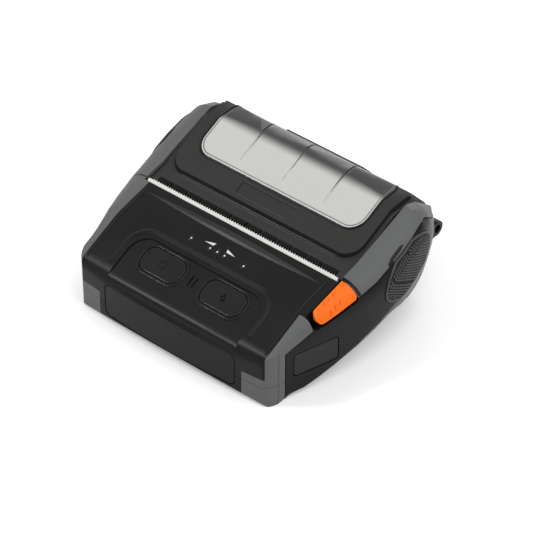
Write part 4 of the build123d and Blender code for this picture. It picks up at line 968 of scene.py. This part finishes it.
def arch(centre, radius, start, end):
    """A round rib about a centre between two angles."""
    return [
        centre + heading(start + (end - start) * step / ARCH_STEPS) * radius
        for step in range(ARCH_STEPS + 1)
    ]


for centre, sector in ((SPINE_TOP, TOP_SECTOR), (SPINE_LOW, LOW_SECTOR)):
    rib_routes += [arch(centre, RIB_PITCH * k, *sector) for k in range(1, ARCH_COUNT)]
right_ribs = [run for route in rib_routes for run in clipped(route)]
bead("grip_ribs", both_sides(right_ribs), radius=RIB_RADIUS, node="grip_pads")

# %% [markdown]
# The rim of a pad follows its outline. Where the outline is, is found from the middle of the pad:
# along each heading, the last place that still lies on the pad is closed in on by halving.

# %% Rims of the pads
PAD_CENTRE = Vector((24.8, 39.8))
PAD_REACH = 30.0
HALVINGS = 16
RIM_INSET = 0.85
RIM_LIFT = -0.4
RIM_STEP = 4


def pad_edge(angle, inset):
    """The place just inside the pad's outline at an angle from its centre."""
    near = 0.0
    far = PAD_REACH
    for _ in range(HALVINGS):
        middle = (near + far) / 2
        if beside(pad, *(PAD_CENTRE + heading(angle) * middle)):
            near = middle
        else:
            far = middle
    place, normal = beside(pad, *(PAD_CENTRE + heading(angle) * (near - inset)))
    return place + normal * RIM_LIFT * MM


rim_places = [pad_edge(angle, RIM_INSET) for angle in range(0, 360, RIM_STEP)]
bead("grip_rims", both_sides([rim_places]), radius=0.82, node="grip_pads", closed=True)

# %% [markdown]
# Above each pad the casing is scooped out in a glossy crescent, which sets the pad off from the grey
# band. It is a bead that follows the pad's outline a little outside it, mostly sunk, in the
# near-black that paints the shade of the scoop.

# %% Crescents over the pads
CRESCENT_OUT = 1.5
CRESCENT_RADIUS = 1.35
CRESCENT_LIFT = -0.95
CRESCENT_ANGLES = range(64, 196, 3)
FLANK = ("side_panel_right", "rear_bumpers", "lower_case")


def flank(spot):
    """The outermost casing surface of the right side at a (y, z) place."""
    found = [beside(pieces[name], *spot) for name in FLANK]
    return max(filter(None, found), key=lambda hit: hit[0].x)


crescent_run = []
for angle in CRESCENT_ANGLES:
    edge = pad_edge(angle, 0)
    spot = Vector((edge.y / MM, edge.z / MM)) + heading(angle) * CRESCENT_OUT
    place, normal = flank(spot)
    crescent_run.append(place + normal * CRESCENT_LIFT * MM)
bead(
    "grip_crescents", both_sides([crescent_run]), radius=CRESCENT_RADIUS, node="side_panel_right",
    fade=0.35, material=black_and_groove_shade,
)

# %% [markdown]
# The latch is smooth orange plastic with six short grip ticks moulded across it. The ticks are a
# darker orange, which paints the shade along them.

# %% Latch ticks
TICK_XS = (62.9, 67.2)
TICK_YS = (-19.0, -22.3, -25.6)
TICK_WIDTH = 1.9
TICK_SLANT = 1.1
orange_and_tick_shade = moulded("orange_abs_painted_tick_shade", "#c23c02", "#cc4606", 0.45, 0.5, 0.02)
tick_runs = [
    laid(pieces["latch_button"], stretch((x, y), (x + TICK_WIDTH, y - TICK_SLANT), 6), lift=-0.02)
    for y in TICK_YS for x in TICK_XS
]
bead("latch_ticks", tick_runs, radius=0.26, node="latch_button", fade=0.3, material=orange_and_tick_shade)

# %% [markdown]
# The latch's window in the shoulder ends in a black frame. It is a bead across the grey band at
# each end, which hides where the band was cut. Its near-black, darker than the casing, is partly
# the black of the frame and partly painted shade.

# %% Latch frame
BAND_SIDES = (61.9, 72.5)
BAND_LINE = 62
BAND_SLANT = 1 / 30
FRAME_REAR = -9.6
FRAME_FRONT = -35.6


def across_band(carrier, y):
    """Places across the grey band, through y at BAND_LINE and further back towards the outside."""
    inner, outer = [(x, y + BAND_SLANT * (x - BAND_LINE)) for x in BAND_SIDES]
    return laid(pieces[carrier], stretch(inner, outer, 30), lift=-0.5)


frame_runs = [
    across_band("rear_bumpers", FRAME_REAR), across_band("front_bumper_right", FRAME_FRONT)
]
bead("latch_frame", frame_runs, radius=0.95, node="lower_case", material=black_and_groove_shade)

# %% [markdown]
# A white floor under a white sky is the usual catalogue picture. A sky bright enough to be white in
# the picture would light the object far too much, so the light paths are split: rays from the
# camera, and those that a glossy or clear surface sends on, see the bright background, and the
# rays that carry light see a dimmer one.


# %% Rays that see the pale background
def seeing(tree):
    """A socket that is 1 for camera, glossy and transmission rays and 0 for the others."""
    rays = add_node(tree, "ShaderNodeLightPath")
    sheen = add_node(tree, "ShaderNodeMath", {
        0: rays.outputs["Is Camera Ray"], 1: rays.outputs["Is Glossy Ray"],
    }, operation="MAXIMUM")
    return add_node(tree, "ShaderNodeMath", {
        0: sheen.outputs["Value"], 1: rays.outputs["Is Transmission Ray"],
    }, operation="MAXIMUM").outputs["Value"]


# %% [markdown]
# The floor is matt white board. Its faint glow lifts what is seen of it to white and leaves the
# object's shadow on it.

# %% Floor
FLOOR_SIZE = 8.0
FLOOR_GLOW = 0.22
deselect()
bpy.ops.mesh.primitive_plane_add(size=FLOOR_SIZE, location=(0, 0, 0))
floor = bpy.context.object
floor.name = "floor"
floor_material, floor_tree, floor_shader = new_material("matt_white_floor", "#f4f4f4", 0.9)
floor.data.materials.append(floor_material)
floor_glow = add_node(floor_tree, "ShaderNodeMath", {
    0: seeing(floor_tree), 1: FLOOR_GLOW,
}, operation="MULTIPLY")
floor_shader.inputs["Emission Color"].default_value = (1, 1, 1, 1)
floor_tree.links.new(floor_glow.outputs["Value"], floor_shader.inputs["Emission Strength"])
print("floor:", FLOOR_SIZE, "m")

# %% Sky
SKY_LIGHT = 0.42
SKY_SEEN = 1.0
world = bpy.data.worlds.new("pale_sky")
bpy.context.scene.world = world
world.use_nodes = True
sky = world.node_tree.nodes["Background"]
strength = add_node(world.node_tree, "ShaderNodeMapRange", {
    "Value": seeing(world.node_tree), "To Min": SKY_LIGHT, "To Max": SKY_SEEN,
})
world.node_tree.links.new(strength.outputs["Result"], sky.inputs["Strength"])
sky.inputs["Color"].default_value = (1, 1, 1, 1)
print("sky light:", SKY_LIGHT)

# %% [markdown]
# Four softboxes stand round the object, with places and sizes in metres. The key lamp is large and
# stands high on the camera's right, where the deck doesn't mirror it into the lens. The small one
# at the front left is there for one thing: it draws the long highlight along the round nose.


# %% Lamps
CENTRE = Vector((0, 0, 0.03))


def softbox(name, place, size, watts):
    """A square soft lamp that points at the object."""
    data = bpy.data.lights.new(name, "AREA")
    data.shape = "SQUARE"
    data.size = size
    data.energy = watts
    lamp = new_piece(name, data)
    lamp.location = place
    lamp.rotation_euler = (CENTRE - Vector(place)).to_track_quat("-Z", "Y").to_euler()
    print(name, "watts:", watts)


softbox("key_softbox", (0.45, 0.1, 0.95), 0.8, 4.6)
softbox("rear_softbox", (-0.35, 0.95, 0.5), 0.7, 3.0)
softbox("right_softbox", (0.95, -0.25, 0.4), 0.6, 2.0)
softbox("nose_softbox", (-0.49, -0.5, 0.74), 0.2, 3.9)

# %% [markdown]
# The camera stands where the photograph's camera stood, found from pairs of mirrored points on the
# object: 40 degrees round to the right and 40 degrees up, far away through a long lens. The
# angles are in radians and the distance in metres. The slides set the object in the frame.

# %% Camera
AZIMUTH = 0.695776
ELEVATION = 0.698133
DISTANCE = 1.400024
AIM = Vector((0, 3 * MM, 30 * MM))
SLIDE_RIGHT = 3.177 * MM
SLIDE_UP = -12.731 * MM
FOCAL_PIXELS = 2846.159
IMAGE_PIXELS = 533
SENSOR = 36
right = Vector((cos(AZIMUTH), sin(AZIMUTH), 0))
back = Vector((
    sin(AZIMUTH) * cos(ELEVATION), -cos(AZIMUTH) * cos(ELEVATION), sin(ELEVATION)
))
up = back.cross(right)
camera_data = bpy.data.cameras.new("camera")
camera_data.sensor_width = SENSOR
camera_data.sensor_fit = "HORIZONTAL"
camera_data.lens = FOCAL_PIXELS * SENSOR / IMAGE_PIXELS
camera = new_piece("camera", camera_data)
stand = AIM + right * SLIDE_RIGHT + up * SLIDE_UP + back * DISTANCE
camera_turn = Matrix((right, up, back)).transposed().to_4x4()
camera.matrix_world = Matrix.Translation(stand) @ camera_turn
bpy.context.scene.camera = camera
bpy.context.scene.view_settings.view_transform = "Standard"
print("lens:", round(camera_data.lens), "mm")
